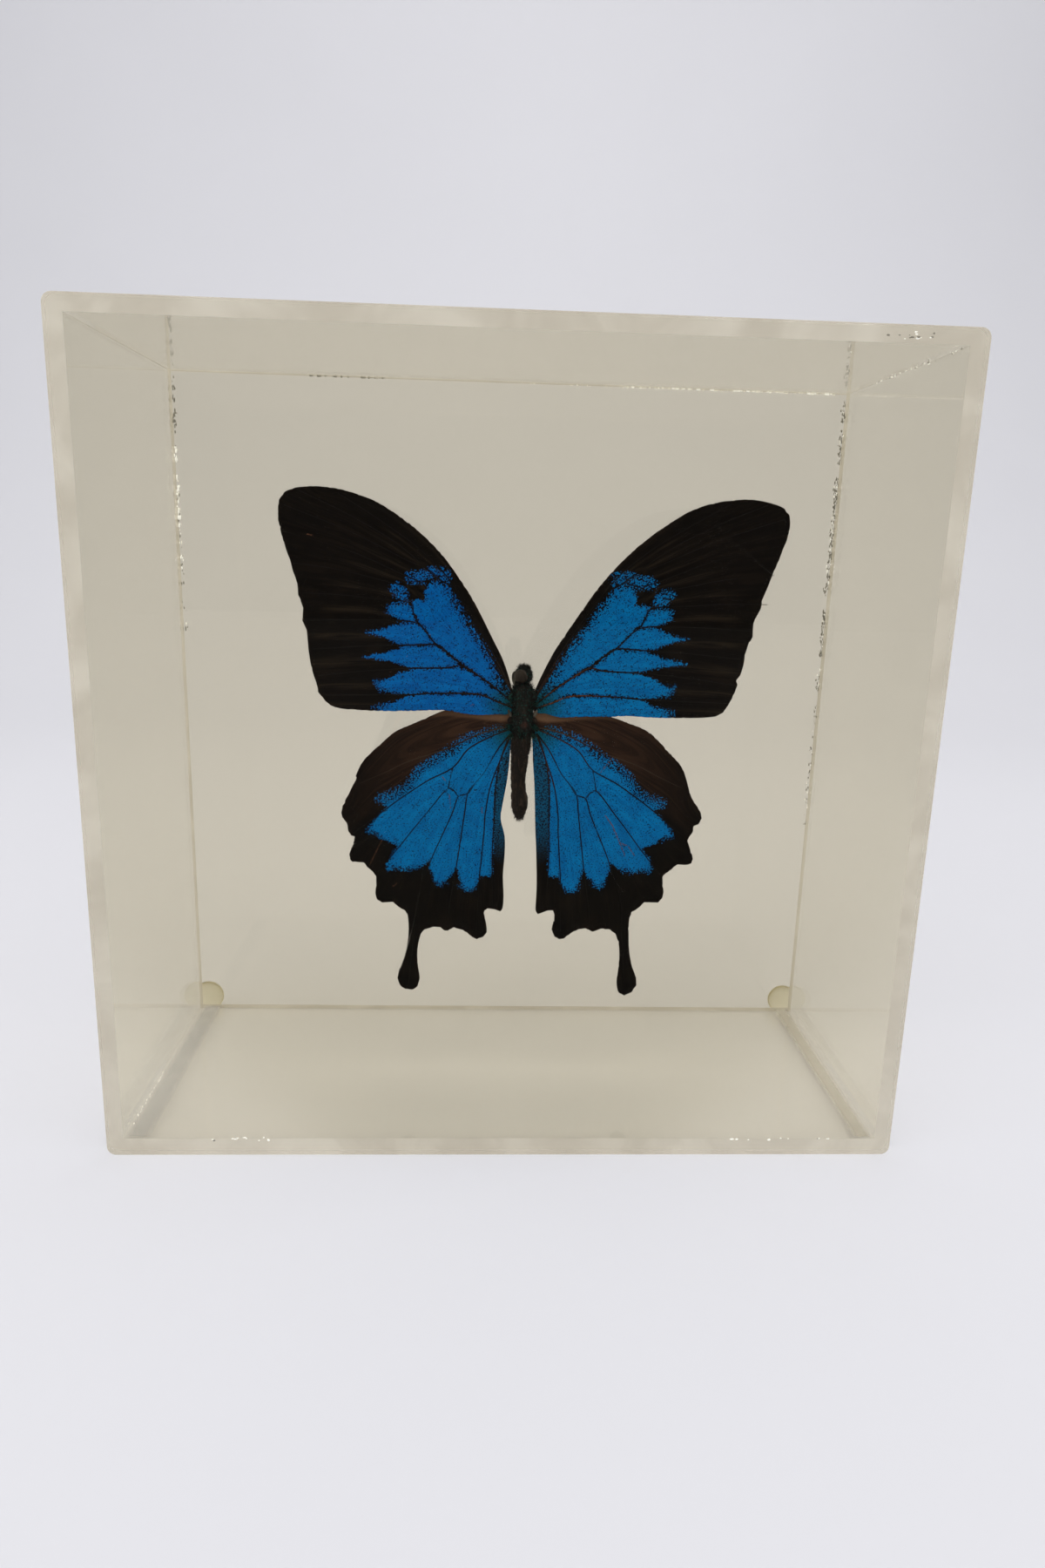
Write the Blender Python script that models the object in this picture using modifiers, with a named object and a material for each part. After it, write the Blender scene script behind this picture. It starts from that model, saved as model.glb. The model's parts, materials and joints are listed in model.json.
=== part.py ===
"""A swallowtail butterfly in a clear acrylic case, in metres, +Z up, front towards -Y.

The origin is the middle of the case's underside, halfway between its front and the bumpers at its back.
Outlines are in millimetres: across from the case's middle line, and up from its underside.
"""

import math

import bmesh
import bpy
from mathutils import Matrix, Vector

MM = 0.001

# Case
CASE_SIDE = 0.180
CASE_DEPTH = 0.074
SHEET = 0.003
JOINT_GAP = 0.0003
CORNER_RADIUS = 0.002
EASED_EDGE = 0.0003

# Bumpers on the back sheet
BUMPER_RADIUS = 0.00425
BUMPER_HEIGHT = 0.002
BUMPER_ACROSS = 0.0856
BUMPER_UP = 0.0049

# Wings
WING_PLANE = 0.0365  # behind the front face
WING_THICKNESS = 0.0004
FOREWING_AHEAD = 0.0004
HINDWING_BEHIND = 0.0004
FOREWING_LIFT = 0.0003
HINDWING_DROOP = 0.0003
WING_GRID = 0.007
WING_STEP = 1.6  # millimetres between the points of a smoothed outline

# Body, its outlines as half-width and height in millimetres
BODY_ACROSS = 0.0029
BODY_BEHIND_WINGS = 0.0014
THORAX_DEPTH = 0.0030
THORAX_PROFILE = [
    (0, 103.6), (1.25, 103.2), (1.95, 102.2), (2.3, 100.6), (2.45, 98.4), (2.4, 96), (2.25, 94),
    (2.1, 92.6), (1.7, 91.4), (1.0, 90.8), (0, 90.7),
]
ABDOMEN_ACROSS = 0.00265
ABDOMEN_LEAN = math.radians(-1.3)
ABDOMEN_TOP, ABDOMEN_END = 90.3, 70.1
ABDOMEN_HALF_WIDTHS = [
    (90.3, 1.3), (88.6, 2.15), (86, 2.15), (82, 1.85), (79, 1.75), (75.5, 2.0), (73.5, 2.1),
    (71.6, 1.6), (70.4, 0.9),
]
ABDOMEN_RINGS = 8
RING_GROOVE = 0.16
HEAD_CENTRE = (2.9, 106.1)
HEAD_HALF = (2.25, 2.3, 2.2)
EYE_CENTRE = (2.45, 105.9)
EYE_RADIUS = 1.6
EYE_AHEAD = 1.35

# Rod behind the thorax
ROD_RADIUS = 0.002
ROD_UP = 0.0955

DEPTH_TO_WIDTH = THORAX_DEPTH / (max(half for half, _ in THORAX_PROFILE) * MM)
FRONT_Y = -(CASE_DEPTH + BUMPER_HEIGHT) / 2
BACK_Y = FRONT_Y + CASE_DEPTH
WING_Y = FRONT_Y + WING_PLANE
BODY_Y = WING_Y + BODY_BEHIND_WINGS

FOREWING_LEFT = [
    (0.1, 102.6), (-0.4, 105), (-2.2, 110), (-4.8, 115), (-7.4, 120), (-10.1, 124.8), (-13.8, 130.1),
    (-17.8, 135), (-23.5, 140.1), (-30, 144.4), (-34.5, 146.4), (-40, 147.9), (-45.2, 148.4),
    (-50, 148.0), (-52.7, 146.9), (-54, 145.2), (-54.3, 142.5), (-54.2, 139.8), (-53, 135),
    (-51.8, 131.7), (-51.3, 129.4), (-50.3, 126.5), (-50.2, 123.8), (-49.1, 121), (-49.4, 118),
    (-48.4, 115.8), (-48.1, 111), (-47.3, 106.2), (-46.2, 102.6), (-46.1, 101.3), (-45.1, 100),
    (-43.3, 98.1), (-40.5, 97.3), (-36, 97), (-30, 96.9), (-25, 97), (-20, 97.3), (-15.5, 97.4),
    (-12, 96.8), (-8, 96.4), (-3, 96.7), (0.1, 97.2),
]
FOREWING_RIGHT = [
    (5.7, 102.2), (7.2, 106.2), (10, 112), (12.1, 115.4), (15, 119.9), (20, 127.3), (25, 133.2),
    (30, 138), (35, 141.8), (40, 145), (45, 147), (50, 148), (55, 148.3), (60, 147.5), (62.6, 146.5),
    (63.9, 145.1), (64.3, 142.7), (63.9, 139.7), (62.5, 135.3), (61, 131), (60.2, 128.4),
    (59.2, 125.6), (59, 123.4), (57.5, 120), (57.6, 116.6), (56.7, 114.9), (56.1, 112.5),
    (55.9, 109.9), (55.2, 107.3), (54.5, 106.3), (54.8, 105), (53.7, 101.7), (52.9, 100),
    (51.8, 98.3), (50, 97.2), (46, 96.8), (40, 96.6), (34, 96.6), (28.4, 96.9), (25, 96.6),
    (18, 96.5), (12, 96.2), (8.4, 97.1), (5.7, 97.6),
]
HINDWING_LEFT = [
    (0.1, 97.4), (-6, 98.4), (-12, 98.3), (-15.6, 97.4), (-18.3, 96.3), (-23, 94.1), (-27.4, 92.1),
    (-30.1, 89.9), (-35.1, 85.1), (-36.9, 82.1), (-37.5, 80.6), (-37.3, 80.2), (-38.5, 77.7),
    (-39.3, 75.9), (-40.2, 74.4), (-40.8, 73), (-41.2, 71.3), (-40.9, 70), (-39.8, 68.6),
    (-39.5, 66.5), (-38.8, 65.4), (-37.9, 65.1), (-38.4, 63.3), (-39.3, 60.6), (-39.2, 59.3),
    (-38.6, 58.6), (-35.7, 58.4), (-34.9, 57.2), (-33.6, 56.1), (-32.7, 54.8), (-32.7, 52.6),
    (-33, 50.2), (-32.5, 48.7), (-31.2, 47.9), (-28.6, 48), (-27.2, 46.8), (-25.5, 45.7),
    (-24.9, 44.6), (-24.6, 41.1), (-24.9, 37), (-25.6, 33.2), (-27, 29.6), (-27.5, 27.3),
    (-26.8, 25.2), (-25.4, 24.2), (-23.6, 24), (-22.3, 24.9), (-21.7, 27.2), (-22.1, 30.1),
    (-22.4, 33.5), (-22.1, 37), (-21.2, 40), (-19.9, 41), (-18, 41.5), (-16.5, 41.3), (-15.5, 40.5),
    (-14.6, 40.3), (-13.3, 41.3), (-11.4, 40.9), (-9.8, 40), (-8.2, 38.5), (-7.2, 38.2),
    (-5.6, 38.8), (-4.7, 40.1), (-4.9, 42.5), (-5.5, 45.6), (-4.7, 46.6), (-2.6, 46.3), (-1.3, 45.8),
    (-0.8, 46.6), (-0.6, 50), (-0.9, 55.3), (-0.6, 61), (-0.7, 65.8), (-1.8, 70.3), (-1.3, 74.6),
    (-0.4, 80.5), (0.1, 87),
]
HINDWING_RIGHT = [
    (5.7, 97.4), (12, 98.2), (18, 98), (23.3, 96.8), (27.2, 95.6), (33.3, 93.3), (36.7, 90.6),
    (39.8, 87.4), (41.8, 85.5), (43.4, 83), (44.2, 80.8), (45.7, 76.5), (47.3, 74.3), (48.3, 72.6),
    (48.6, 71.1), (47.9, 69.6), (46.7, 69.2), (46.7, 67.8), (45.4, 65.2), (46.2, 63.2), (47.1, 60.6),
    (46.8, 59.4), (45.6, 58.9), (43.4, 59), (41.6, 57.4), (39.7, 55.4), (40.2, 51.6), (39.9, 49.7),
    (38.9, 48.7), (35.4, 48.7), (34.4, 47.5), (32.3, 45.8), (31.8, 44.4), (31.8, 40.6), (32.3, 34.8),
    (33.4, 30.5), (34.5, 27.7), (34.6, 25.7), (33.5, 23.8), (31.6, 22.8), (30.1, 23.5), (29.3, 26),
    (29.6, 30), (29.7, 34.5), (29.2, 37.9), (28.4, 40), (26.8, 41.2), (24.6, 41.4), (22.5, 40.5),
    (20.6, 41.4), (18.8, 41.2), (17, 40.2), (15.3, 38.6), (14.1, 38.3), (12.6, 39.1), (11.9, 41),
    (12.5, 45), (12, 46.3), (10.7, 46.2), (8.9, 45.5), (8.2, 45.2), (7.6, 46.2), (7.7, 53),
    (7.3, 62), (6.9, 67.9), (6.4, 78), (5.9, 84), (5.7, 87),
]


def clear_scene():
    for obj in list(bpy.data.objects):
        bpy.data.objects.remove(obj, do_unlink=True)


def make_material(name, colour, roughness, transmission=0.0):
    material = bpy.data.materials.new(name)
    material.use_nodes = True
    shader = material.node_tree.nodes["Principled BSDF"]
    shader.inputs["Base Color"].default_value = (*colour, 1)
    shader.inputs["Roughness"].default_value = roughness
    shader.inputs["Transmission Weight"].default_value = transmission
    return material


def add_object(name, mesh, material, parts):
    obj = bpy.data.objects.new(name, mesh)
    mesh.materials.append(material)
    parts.objects.link(obj)
    return obj


def make_sheet(name, low, high, outside, material, parts):
    """A sheet from its low corner to its high one; outside is its outer face's axis and sign.

    Long edges at the case's corners are rounded, and the edges of a front or back face are eased.
    """
    low, high = Vector(low), Vector(high)
    place = Matrix.Translation((low + high) / 2) @ Matrix.Diagonal((*(high - low), 1))
    bm = bmesh.new()
    bmesh.ops.create_cube(bm, size=1, matrix=place)
    half = CASE_SIDE / 2

    def at_case_corner(vertex):
        across = abs(abs(vertex.co.x) - half) < EASED_EDGE
        up = min(abs(vertex.co.z), abs(vertex.co.z - CASE_SIDE)) < EASED_EDGE
        return across and up

    def runs_back(edge):
        return abs(edge.verts[0].co.y - edge.verts[1].co.y) > EASED_EDGE

    rounded = [e for e in bm.edges if runs_back(e) and all(at_case_corner(v) for v in e.verts)]
    if rounded:
        bmesh.ops.bevel(
            bm, geom=rounded, offset=CORNER_RADIUS, segments=4, profile=0.5, affect="EDGES", material=-1
        )
    axis, sign = outside
    if axis == 1:
        face_at = max(sign * v.co.y for v in bm.verts)
        eased = [e for e in bm.edges if all(abs(sign * v.co.y - face_at) < MM / 100 for v in e.verts)]
        bmesh.ops.bevel(
            bm, geom=eased, offset=EASED_EDGE, segments=1, profile=0.5, affect="EDGES", material=-1
        )
    mesh = bpy.data.meshes.new(name)
    bm.to_mesh(mesh)
    bm.free()
    return add_object(name, mesh, material, parts)


def make_case(material, parts):
    half, top = CASE_SIDE / 2, CASE_SIDE
    near, far = FRONT_Y + SHEET + JOINT_GAP, BACK_Y - SHEET - JOINT_GAP
    low, high = SHEET + JOINT_GAP, CASE_SIDE - SHEET - JOINT_GAP
    sheets = {
        "front_panel": ((-half, FRONT_Y, 0), (half, FRONT_Y + SHEET, top), (1, -1)),
        "back_panel": ((-half, BACK_Y - SHEET, 0), (half, BACK_Y, top), (1, 1)),
        "bottom_panel": ((-half, near, 0), (half, far, SHEET), (2, -1)),
        "top_panel": ((-half, near, top - SHEET), (half, far, top), (2, 1)),
        "left_panel": ((-half, near, low), (-half + SHEET, far, high), (0, -1)),
        "right_panel": ((half - SHEET, near, low), (half, far, high), (0, 1)),
    }
    for name, (low_corner, high_corner, outside) in sheets.items():
        make_sheet(name, low_corner, high_corner, outside, material, parts)


def turned(name, profile, steps, material, parts):
    """A round piece from (radius, height) points, listed from the top down."""
    mesh = bpy.data.meshes.new(name)
    points = [(radius, 0, height) for radius, height in profile]
    mesh.from_pydata(points, [(i, i + 1) for i in range(len(points) - 1)], [])
    obj = add_object(name, mesh, material, parts)
    screw = obj.modifiers.new("Turn", "SCREW")
    screw.axis = "Z"
    screw.steps = steps
    screw.render_steps = steps
    screw.use_merge_vertices = True
    screw.merge_threshold = 1e-6
    return obj


def make_bumper(name, side, material, parts):
    """A low dome, its flat side against the back sheet."""
    dome = BUMPER_HEIGHT - JOINT_GAP
    rim = 0.35 * dome
    arc = [math.radians(90 * i / 5) for i in range(6)]
    profile = [(BUMPER_RADIUS * math.sin(a), rim + (dome - rim) * math.cos(a)) for a in arc]
    obj = turned(name, [*profile, (BUMPER_RADIUS, 0), (0, 0)], 24, material, parts)
    obj.rotation_euler = (math.radians(-90), 0, 0)
    obj.location = (side * BUMPER_ACROSS, BACK_Y + JOINT_GAP, BUMPER_UP)


def make_rod(material, parts):
    """A rod from the back sheet to just behind the thorax."""
    start = BODY_Y + THORAX_DEPTH + JOINT_GAP
    length = BACK_Y - SHEET - JOINT_GAP - start
    profile = [(0, length), (ROD_RADIUS, length), (ROD_RADIUS, 0), (0, 0)]
    obj = turned("mounting_rod", profile, 24, material, parts)
    obj.rotation_euler = (math.radians(-90), 0, 0)
    obj.location = (BODY_ACROSS, start, ROD_UP)


def between_points(table, at):
    """Reads a falling table of (height, value) at one height."""
    for (high, first), (low, second) in zip(table, table[1:]):
        if at >= low:
            return first + (second - first) * (high - at) / (high - low)
    return table[-1][1]


def abdomen_profile():
    """A taper with a shallow groove between rings, closed at both ends."""
    points = [(0, ABDOMEN_TOP)]
    steps = ABDOMEN_RINGS * 4
    length = ABDOMEN_HALF_WIDTHS[0][0] - ABDOMEN_HALF_WIDTHS[-1][0]
    for i in range(steps + 1):
        height = ABDOMEN_HALF_WIDTHS[0][0] - length * i / steps
        groove = RING_GROOVE * (i % 4 == 0) * (0 < i < steps)
        lowered = 0.05 if i == 0 else 0
        points.append((between_points(ABDOMEN_HALF_WIDTHS, height) - groove, height - lowered))
    return [*points, (0, ABDOMEN_END)]


def body_piece(name, profile, across, lean, material, parts):
    """A turned piece deeper than it is wide, from a profile in millimetres."""
    middle = (profile[0][1] + profile[-1][1]) / 2
    obj = turned(name, [(r * MM, (z - middle) * MM) for r, z in profile], 20, material, parts)
    obj.scale = (1, DEPTH_TO_WIDTH, 1)
    obj.rotation_euler = (0, lean, 0)
    obj.location = (across, BODY_Y, middle * MM)


def make_head(material, parts):
    """The head is turned, so one eye faces forwards and the other back."""
    across, up = HEAD_CENTRE
    balls = [((across, 0, up), HEAD_HALF)]
    for side in (-1, 1):
        balls.append(((EYE_CENTRE[0], side * EYE_AHEAD, EYE_CENTRE[1]), (EYE_RADIUS,) * 3))
    shapes = []
    for i, (centre, half) in enumerate(balls):
        mesh = bpy.data.meshes.new("head")
        bm = bmesh.new()
        bmesh.ops.create_uvsphere(bm, u_segments=20, v_segments=12, radius=MM)
        bm.to_mesh(mesh)
        bm.free()
        where = Vector((centre[0] * MM, BODY_Y + centre[1] * MM, centre[2] * MM))
        mesh.transform(Matrix.Translation(where) @ Matrix.Diagonal((*half, 1)))
        shapes.append(bpy.data.objects.new("head" if i == 0 else f"eye_shape_{i}", mesh))
    head = shapes[0]
    head.data.materials.append(material)
    parts.objects.link(head)
    cutters = bpy.data.collections.new("helpers")
    bpy.context.scene.collection.children.link(cutters)
    for eye in shapes[1:]:
        cutters.objects.link(eye)
        eye.hide_render = True
        eye.display_type = "WIRE"
        join = head.modifiers.new("Eye", "BOOLEAN")
        join.operation = "UNION"
        join.object = eye


def smooth_outline(points):
    """A closed curve through the points (Catmull-Rom), with a point about every WING_STEP."""
    count = len(points)
    outline = []
    for i in range(count):
        before, start, end, after = (Vector(points[(i + k) % count]) for k in (-1, 0, 1, 2))
        steps = max(1, round((end - start).length / WING_STEP))
        for k in range(steps):
            t = k / steps
            outline.append(
                0.5 * (2 * start + (end - before) * t + (2 * before - 5 * start + 4 * end - after) * t**2)
                + 0.5 * (3 * start - before - 3 * end + after) * t**3
            )
    return outline


def outline_plate(name, points, thickness):
    """A flat closed mesh of this outline, standing in the XZ plane."""
    curve = bpy.data.curves.new(name, "CURVE")
    curve.dimensions = "2D"
    curve.fill_mode = "BOTH"
    curve.extrude = thickness / 2
    spline = curve.splines.new("POLY")
    spline.points.add(len(points) - 1)
    for target, point in zip(spline.points, points):
        target.co = (point.x * MM, point.y * MM, 0, 1)
    spline.use_cyclic_u = True
    guide = bpy.data.objects.new(name + "_outline", curve)
    bpy.context.scene.collection.objects.link(guide)
    bpy.context.view_layer.update()
    graph = bpy.context.evaluated_depsgraph_get()
    mesh = bpy.data.meshes.new_from_object(guide.evaluated_get(graph))
    bpy.data.objects.remove(guide, do_unlink=True)
    mesh.name = name
    mesh.transform(Matrix.Rotation(math.radians(90), 4, "X"))
    return mesh


def cut_grid(bm):
    """Cuts the plate along evenly spaced lines, so that it can bend."""
    for axis in (0, 2):
        places = [v.co[axis] for v in bm.verts]
        normal = Vector([float(axis == k) for k in range(3)])
        for k in range(math.ceil(min(places) / WING_GRID), math.floor(max(places) / WING_GRID) + 1):
            every = [*bm.verts, *bm.edges, *bm.faces]
            level = normal * k * WING_GRID
            bmesh.ops.bisect_plane(bm, geom=every, dist=1e-6, plane_co=level, plane_no=normal)


def make_wing(name, points, plane_y, bend, material, parts):
    mesh = outline_plate(name, smooth_outline(points), WING_THICKNESS)
    bm = bmesh.new()
    bm.from_mesh(mesh)
    bmesh.ops.remove_doubles(bm, verts=bm.verts, dist=1e-6)
    cut_grid(bm)
    for vertex in bm.verts:
        vertex.co.y += plane_y + bend(vertex.co)
    bmesh.ops.recalc_face_normals(bm, faces=bm.faces)
    bm.to_mesh(mesh)
    bm.free()
    add_object(name, mesh, material, parts)


def forewing_bend(place):
    """The tips rise a little towards the front."""
    reach = abs(place.x - BODY_ACROSS) / 0.061
    return -FOREWING_LIFT * reach**2


def hindwing_bend(place):
    """The tails fall back a little."""
    below = max(0, 0.095 - place.z) / 0.072
    return HINDWING_DROOP * below**2


def main():
    clear_scene()
    parts = bpy.data.collections.new("butterfly_case")
    bpy.context.scene.collection.children.link(parts)
    acrylic = make_material("acrylic", (0.93, 0.92, 0.86), 0.02, 1.0)
    bumper = make_material("clear_bumper", (0.9, 0.88, 0.75), 0.1, 1.0)
    wing = make_material("wing", (0.03, 0.03, 0.03), 0.55)
    body = make_material("body", (0.04, 0.035, 0.025), 0.7)
    make_case(acrylic, parts)
    make_bumper("bumper_left", -1, bumper, parts)
    make_bumper("bumper_right", 1, bumper, parts)
    make_rod(acrylic, parts)
    make_head(body, parts)
    body_piece("thorax", THORAX_PROFILE, BODY_ACROSS, 0, body, parts)
    body_piece("abdomen", abdomen_profile(), ABDOMEN_ACROSS, ABDOMEN_LEAN, body, parts)
    fore_y, hind_y = WING_Y - FOREWING_AHEAD, WING_Y + HINDWING_BEHIND
    make_wing("forewing_left", FOREWING_LEFT, fore_y, forewing_bend, wing, parts)
    make_wing("forewing_right", FOREWING_RIGHT, fore_y, forewing_bend, wing, parts)
    make_wing("hindwing_left", HINDWING_LEFT, hind_y, hindwing_bend, wing, parts)
    make_wing("hindwing_right", HINDWING_RIGHT, hind_y, hindwing_bend, wing, parts)


main()
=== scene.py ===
# %% [markdown]
# # A blue butterfly in a clear acrylic case
#
# The real object is a square case, glued from six clear acrylic sheets. Inside it a large blue and
# black swallowtail butterfly floats with its wings spread, as a specimen for a shelf or a wall.
# Two small clear bumpers sit low on the back.
# This lesson dresses the part's solids: each step makes one piece or one finish of the real object.
# It starts with the solids themselves, because every piece takes its place and size from them.

# %% Load the solids
import json
import math
import random

import bmesh
import bpy
import numpy as np
from mathutils import Matrix, Vector, kdtree, noise

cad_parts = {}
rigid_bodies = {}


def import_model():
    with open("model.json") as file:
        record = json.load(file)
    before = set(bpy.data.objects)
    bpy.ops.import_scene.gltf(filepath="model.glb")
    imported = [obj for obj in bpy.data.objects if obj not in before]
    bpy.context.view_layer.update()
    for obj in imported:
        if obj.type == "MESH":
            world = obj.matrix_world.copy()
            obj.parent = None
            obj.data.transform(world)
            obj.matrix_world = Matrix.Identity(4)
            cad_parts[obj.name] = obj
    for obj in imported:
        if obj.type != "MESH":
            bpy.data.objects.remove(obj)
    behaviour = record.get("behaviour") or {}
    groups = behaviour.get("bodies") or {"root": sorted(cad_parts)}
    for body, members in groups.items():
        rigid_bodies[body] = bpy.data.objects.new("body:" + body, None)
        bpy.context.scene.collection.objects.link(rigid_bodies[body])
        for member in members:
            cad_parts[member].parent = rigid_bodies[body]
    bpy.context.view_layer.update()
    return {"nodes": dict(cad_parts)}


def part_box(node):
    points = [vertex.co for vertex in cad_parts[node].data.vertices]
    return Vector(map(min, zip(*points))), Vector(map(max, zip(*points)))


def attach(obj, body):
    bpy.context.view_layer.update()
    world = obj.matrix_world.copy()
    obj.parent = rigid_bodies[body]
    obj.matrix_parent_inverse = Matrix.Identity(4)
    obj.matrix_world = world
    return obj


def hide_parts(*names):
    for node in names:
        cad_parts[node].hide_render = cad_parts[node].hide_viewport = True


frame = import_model()
MM = 0.001
print("solids:", ", ".join(sorted(frame["nodes"])))

# %% [markdown]
# The case's measures are read from its solids. A number that is typed twice can disagree with
# itself, and then a piece stands a hair outside the solid that it should match.

# %% Read the case's measures
front_low, front_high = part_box("front_panel")
front_y = front_low.y
back_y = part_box("back_panel")[1].y
sheet = front_high.y - front_low.y
half_width = front_high.x
case_height = front_high.z
print(f"case {2 * half_width / MM:.1f} x {(back_y - front_y) / MM:.1f} x {case_height / MM:.1f} mm")
print(f"sheets {sheet / MM:.1f} mm thick")

# %% [markdown]
# The photograph was taken from close by, a little left of the middle and well above the
# butterfly, with a wide lens. So the case's sides splay, and its bottom looks narrower than its
# top. The camera's place and tilt were worked out from the case's corners. They are written as a
# place, three angles and a focal length in pixels, and turned into Blender's camera here.

# %% Camera
CAMERA_PLACE = Vector((-0.0083, -0.2430, 0.1373))
CAMERA_PITCH = math.radians(-13.53)
CAMERA_YAW = math.radians(-2.78)
CAMERA_ROLL = math.radians(-1.60)
FOCAL_PIXELS = 1153.9
IMAGE_HEIGHT_PIXELS = 1800
SENSOR = 36


def new_object(name, data):
    made = bpy.data.objects.new(name, data)
    bpy.context.scene.collection.objects.link(made)
    return made


def add_camera():
    turn = Matrix.Rotation(CAMERA_YAW, 3, "Z")
    turn = turn @ Matrix.Rotation(CAMERA_PITCH, 3, "X") @ Matrix.Rotation(CAMERA_ROLL, 3, "Y")
    right, ahead, up = turn.col[0], turn.col[1], turn.col[2]
    place = Matrix((right, up, -ahead)).transposed().to_4x4()
    place.translation = CAMERA_PLACE
    data = bpy.data.cameras.new("camera")
    data.sensor_width = SENSOR
    data.lens = SENSOR * FOCAL_PIXELS / IMAGE_HEIGHT_PIXELS
    data.clip_start = 0.01
    camera = new_object("camera", data)
    camera.matrix_world = place
    bpy.context.scene.camera = camera
    return camera


camera = add_camera()
print(f"lens {camera.data.lens:.2f} mm")

# %% [markdown]
# Every finish below is made of shader nodes. Small helpers keep those cells short: one adds a node
# and fills its inputs, and the others do one sum, one soft step, one mix of colours or one noise.
# Each finds the node tree by the socket that it is given. A value that is the same all over a
# surface goes straight on the shader's own socket.

# %% Helpers for shader nodes
def add_node(tree, kind, inputs=None, **settings):
    """Adds a node. An input is another node's output, or a plain value."""
    made = tree.nodes.new(kind)
    for key, value in settings.items():
        setattr(made, key, value)
    for key, value in (inputs or {}).items():
        if isinstance(value, bpy.types.NodeSocket):
            tree.links.new(value, made.inputs[key])
        else:
            made.inputs[key].default_value = value
    return made


def maths(operation, *values):
    """One step of arithmetic; returns the output."""
    tree = next(value.id_data for value in values if isinstance(value, bpy.types.NodeSocket))
    return add_node(tree, "ShaderNodeMath", dict(enumerate(values)), operation=operation).outputs[0]


def times(first, second):
    return maths("MULTIPLY", first, second)


def plus(first, second):
    return maths("ADD", first, second)


def minus(first, second):
    return maths("SUBTRACT", first, second)


def ease(value, low, high):
    """Rises smoothly from 0 at low to 1 at high."""
    inputs = {"Value": value, "From Min": low, "From Max": high}
    step = add_node(value.id_data, "ShaderNodeMapRange", inputs, interpolation_type="SMOOTHSTEP")
    return step.outputs[0]


def in_ring(value, low, high, soft):
    """1 between two limits, with soft edges."""
    return times(ease(value, low - soft, low + soft), ease(value, high + soft, high - soft))


def less(mask, taken, share):
    """The mask, lowered by a share where another one covers it."""
    return times(mask, minus(1.0, times(taken, share)))


def tint(mask, first, second):
    """The first colour where the mask is 0, the second where it is 1."""
    made = add_node(mask.id_data, "ShaderNodeMix", {0: mask, 6: first, 7: second}, data_type="RGBA")
    return made.outputs[2]


def axes_of(place):
    """The outputs X, Y and Z of a vector."""
    return add_node(place.id_data, "ShaderNodeSeparateXYZ", {0: place}).outputs


def object_place(tree):
    return add_node(tree, "ShaderNodeTexCoord").outputs["Object"]


def cloud(place, scale, detail, **more):
    """Soft noise from 0 to 1."""
    inputs = {"Vector": place, "Scale": scale, "Detail": detail, **more}
    return add_node(place.id_data, "ShaderNodeTexNoise", inputs).outputs["Fac"]


def set_bump(shader, height, strength, distance):
    tree = height.id_data
    inputs = {"Height": height, "Strength": strength, "Distance": distance}
    bump = add_node(tree, "ShaderNodeBump", inputs)
    tree.links.new(bump.outputs[0], shader.inputs["Normal"])


def attributes(tree, names):
    """The values that a mesh carries under these names."""
    return {
        name: add_node(tree, "ShaderNodeAttribute", attribute_name=name).outputs["Fac"] for name in names
    }


def new_group(name, inputs, output):
    """A group with these inputs and one output; returns it, its inputs and the output's socket."""
    group = bpy.data.node_groups.new(name, "ShaderNodeTree")
    for socket in inputs:
        kind = "NodeSocketVector" if socket == "Position" else "NodeSocketFloat"
        group.interface.new_socket(name=socket, in_out="INPUT", socket_type=kind)
    group.interface.new_socket(name=output, in_out="OUTPUT", socket_type="NodeSocketFloat")
    given = group.nodes.new("NodeGroupInput").outputs
    return group, given, group.nodes.new("NodeGroupOutput").inputs[output]


def new_material(name, **plain):
    """A material with a Principled shader, its plain values set on the sockets."""
    material = bpy.data.materials.new(name)
    material.use_nodes = True
    shader = material.node_tree.nodes["Principled BSDF"]
    for key, value in plain.items():
        shader.inputs[key.replace("_", " ")].default_value = value
    return material, material.node_tree, shader


def colour(red, green, blue):
    """A colour as a picture shows it, from 0 to 255, made linear for the shader."""
    values = [value / 255 for value in (red, green, blue)]
    return (*[v / 12.92 if v <= 0.04045 else ((v + 0.055) / 1.055) ** 2.4 for v in values], 1)


# %% [markdown]
# The case stands on a pale sweep, a floor that curves up into a backdrop, as in a small studio.
# A clear case shows whatever is behind it, so the sweep is plain and almost white. It is a strip
# that is pushed back, spun through a quarter turn and lifted, and it isn't part of the object.
#
# The flat front of a case mirrors the room, and a bright room would lay a veil over the dark wings.
# A photographer shades that side with dark cards. Here the front part of the sweep and of the
# surround is darker for light that a face mirrored straight back: one mirroring, and no more than
# two passes through a face.

# %% Floor and backdrop
SWEEP_FRONT, SWEEP_BACK = -1.6, 0.5
SWEEP_HALF_WIDTH = 2.2
SWEEP_RADIUS = 1.0
SWEEP_TOP = 2.4
SWEEP_LOW = -0.3 * MM
SWEEP_STEPS = 24


def as_mesh(name, bm):
    """The finished mesh; the working one is freed."""
    mesh = bpy.data.meshes.new(name)
    bm.to_mesh(mesh)
    bm.free()
    return mesh


def soften(faces, finish=0):
    """Smooth shading, and the number of the finish."""
    for face in faces:
        face.material_index = finish
        face.smooth = True


def run_along(edge, axis):
    """How far an edge runs along an axis."""
    return abs(edge.verts[0].co[axis] - edge.verts[1].co[axis])


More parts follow.
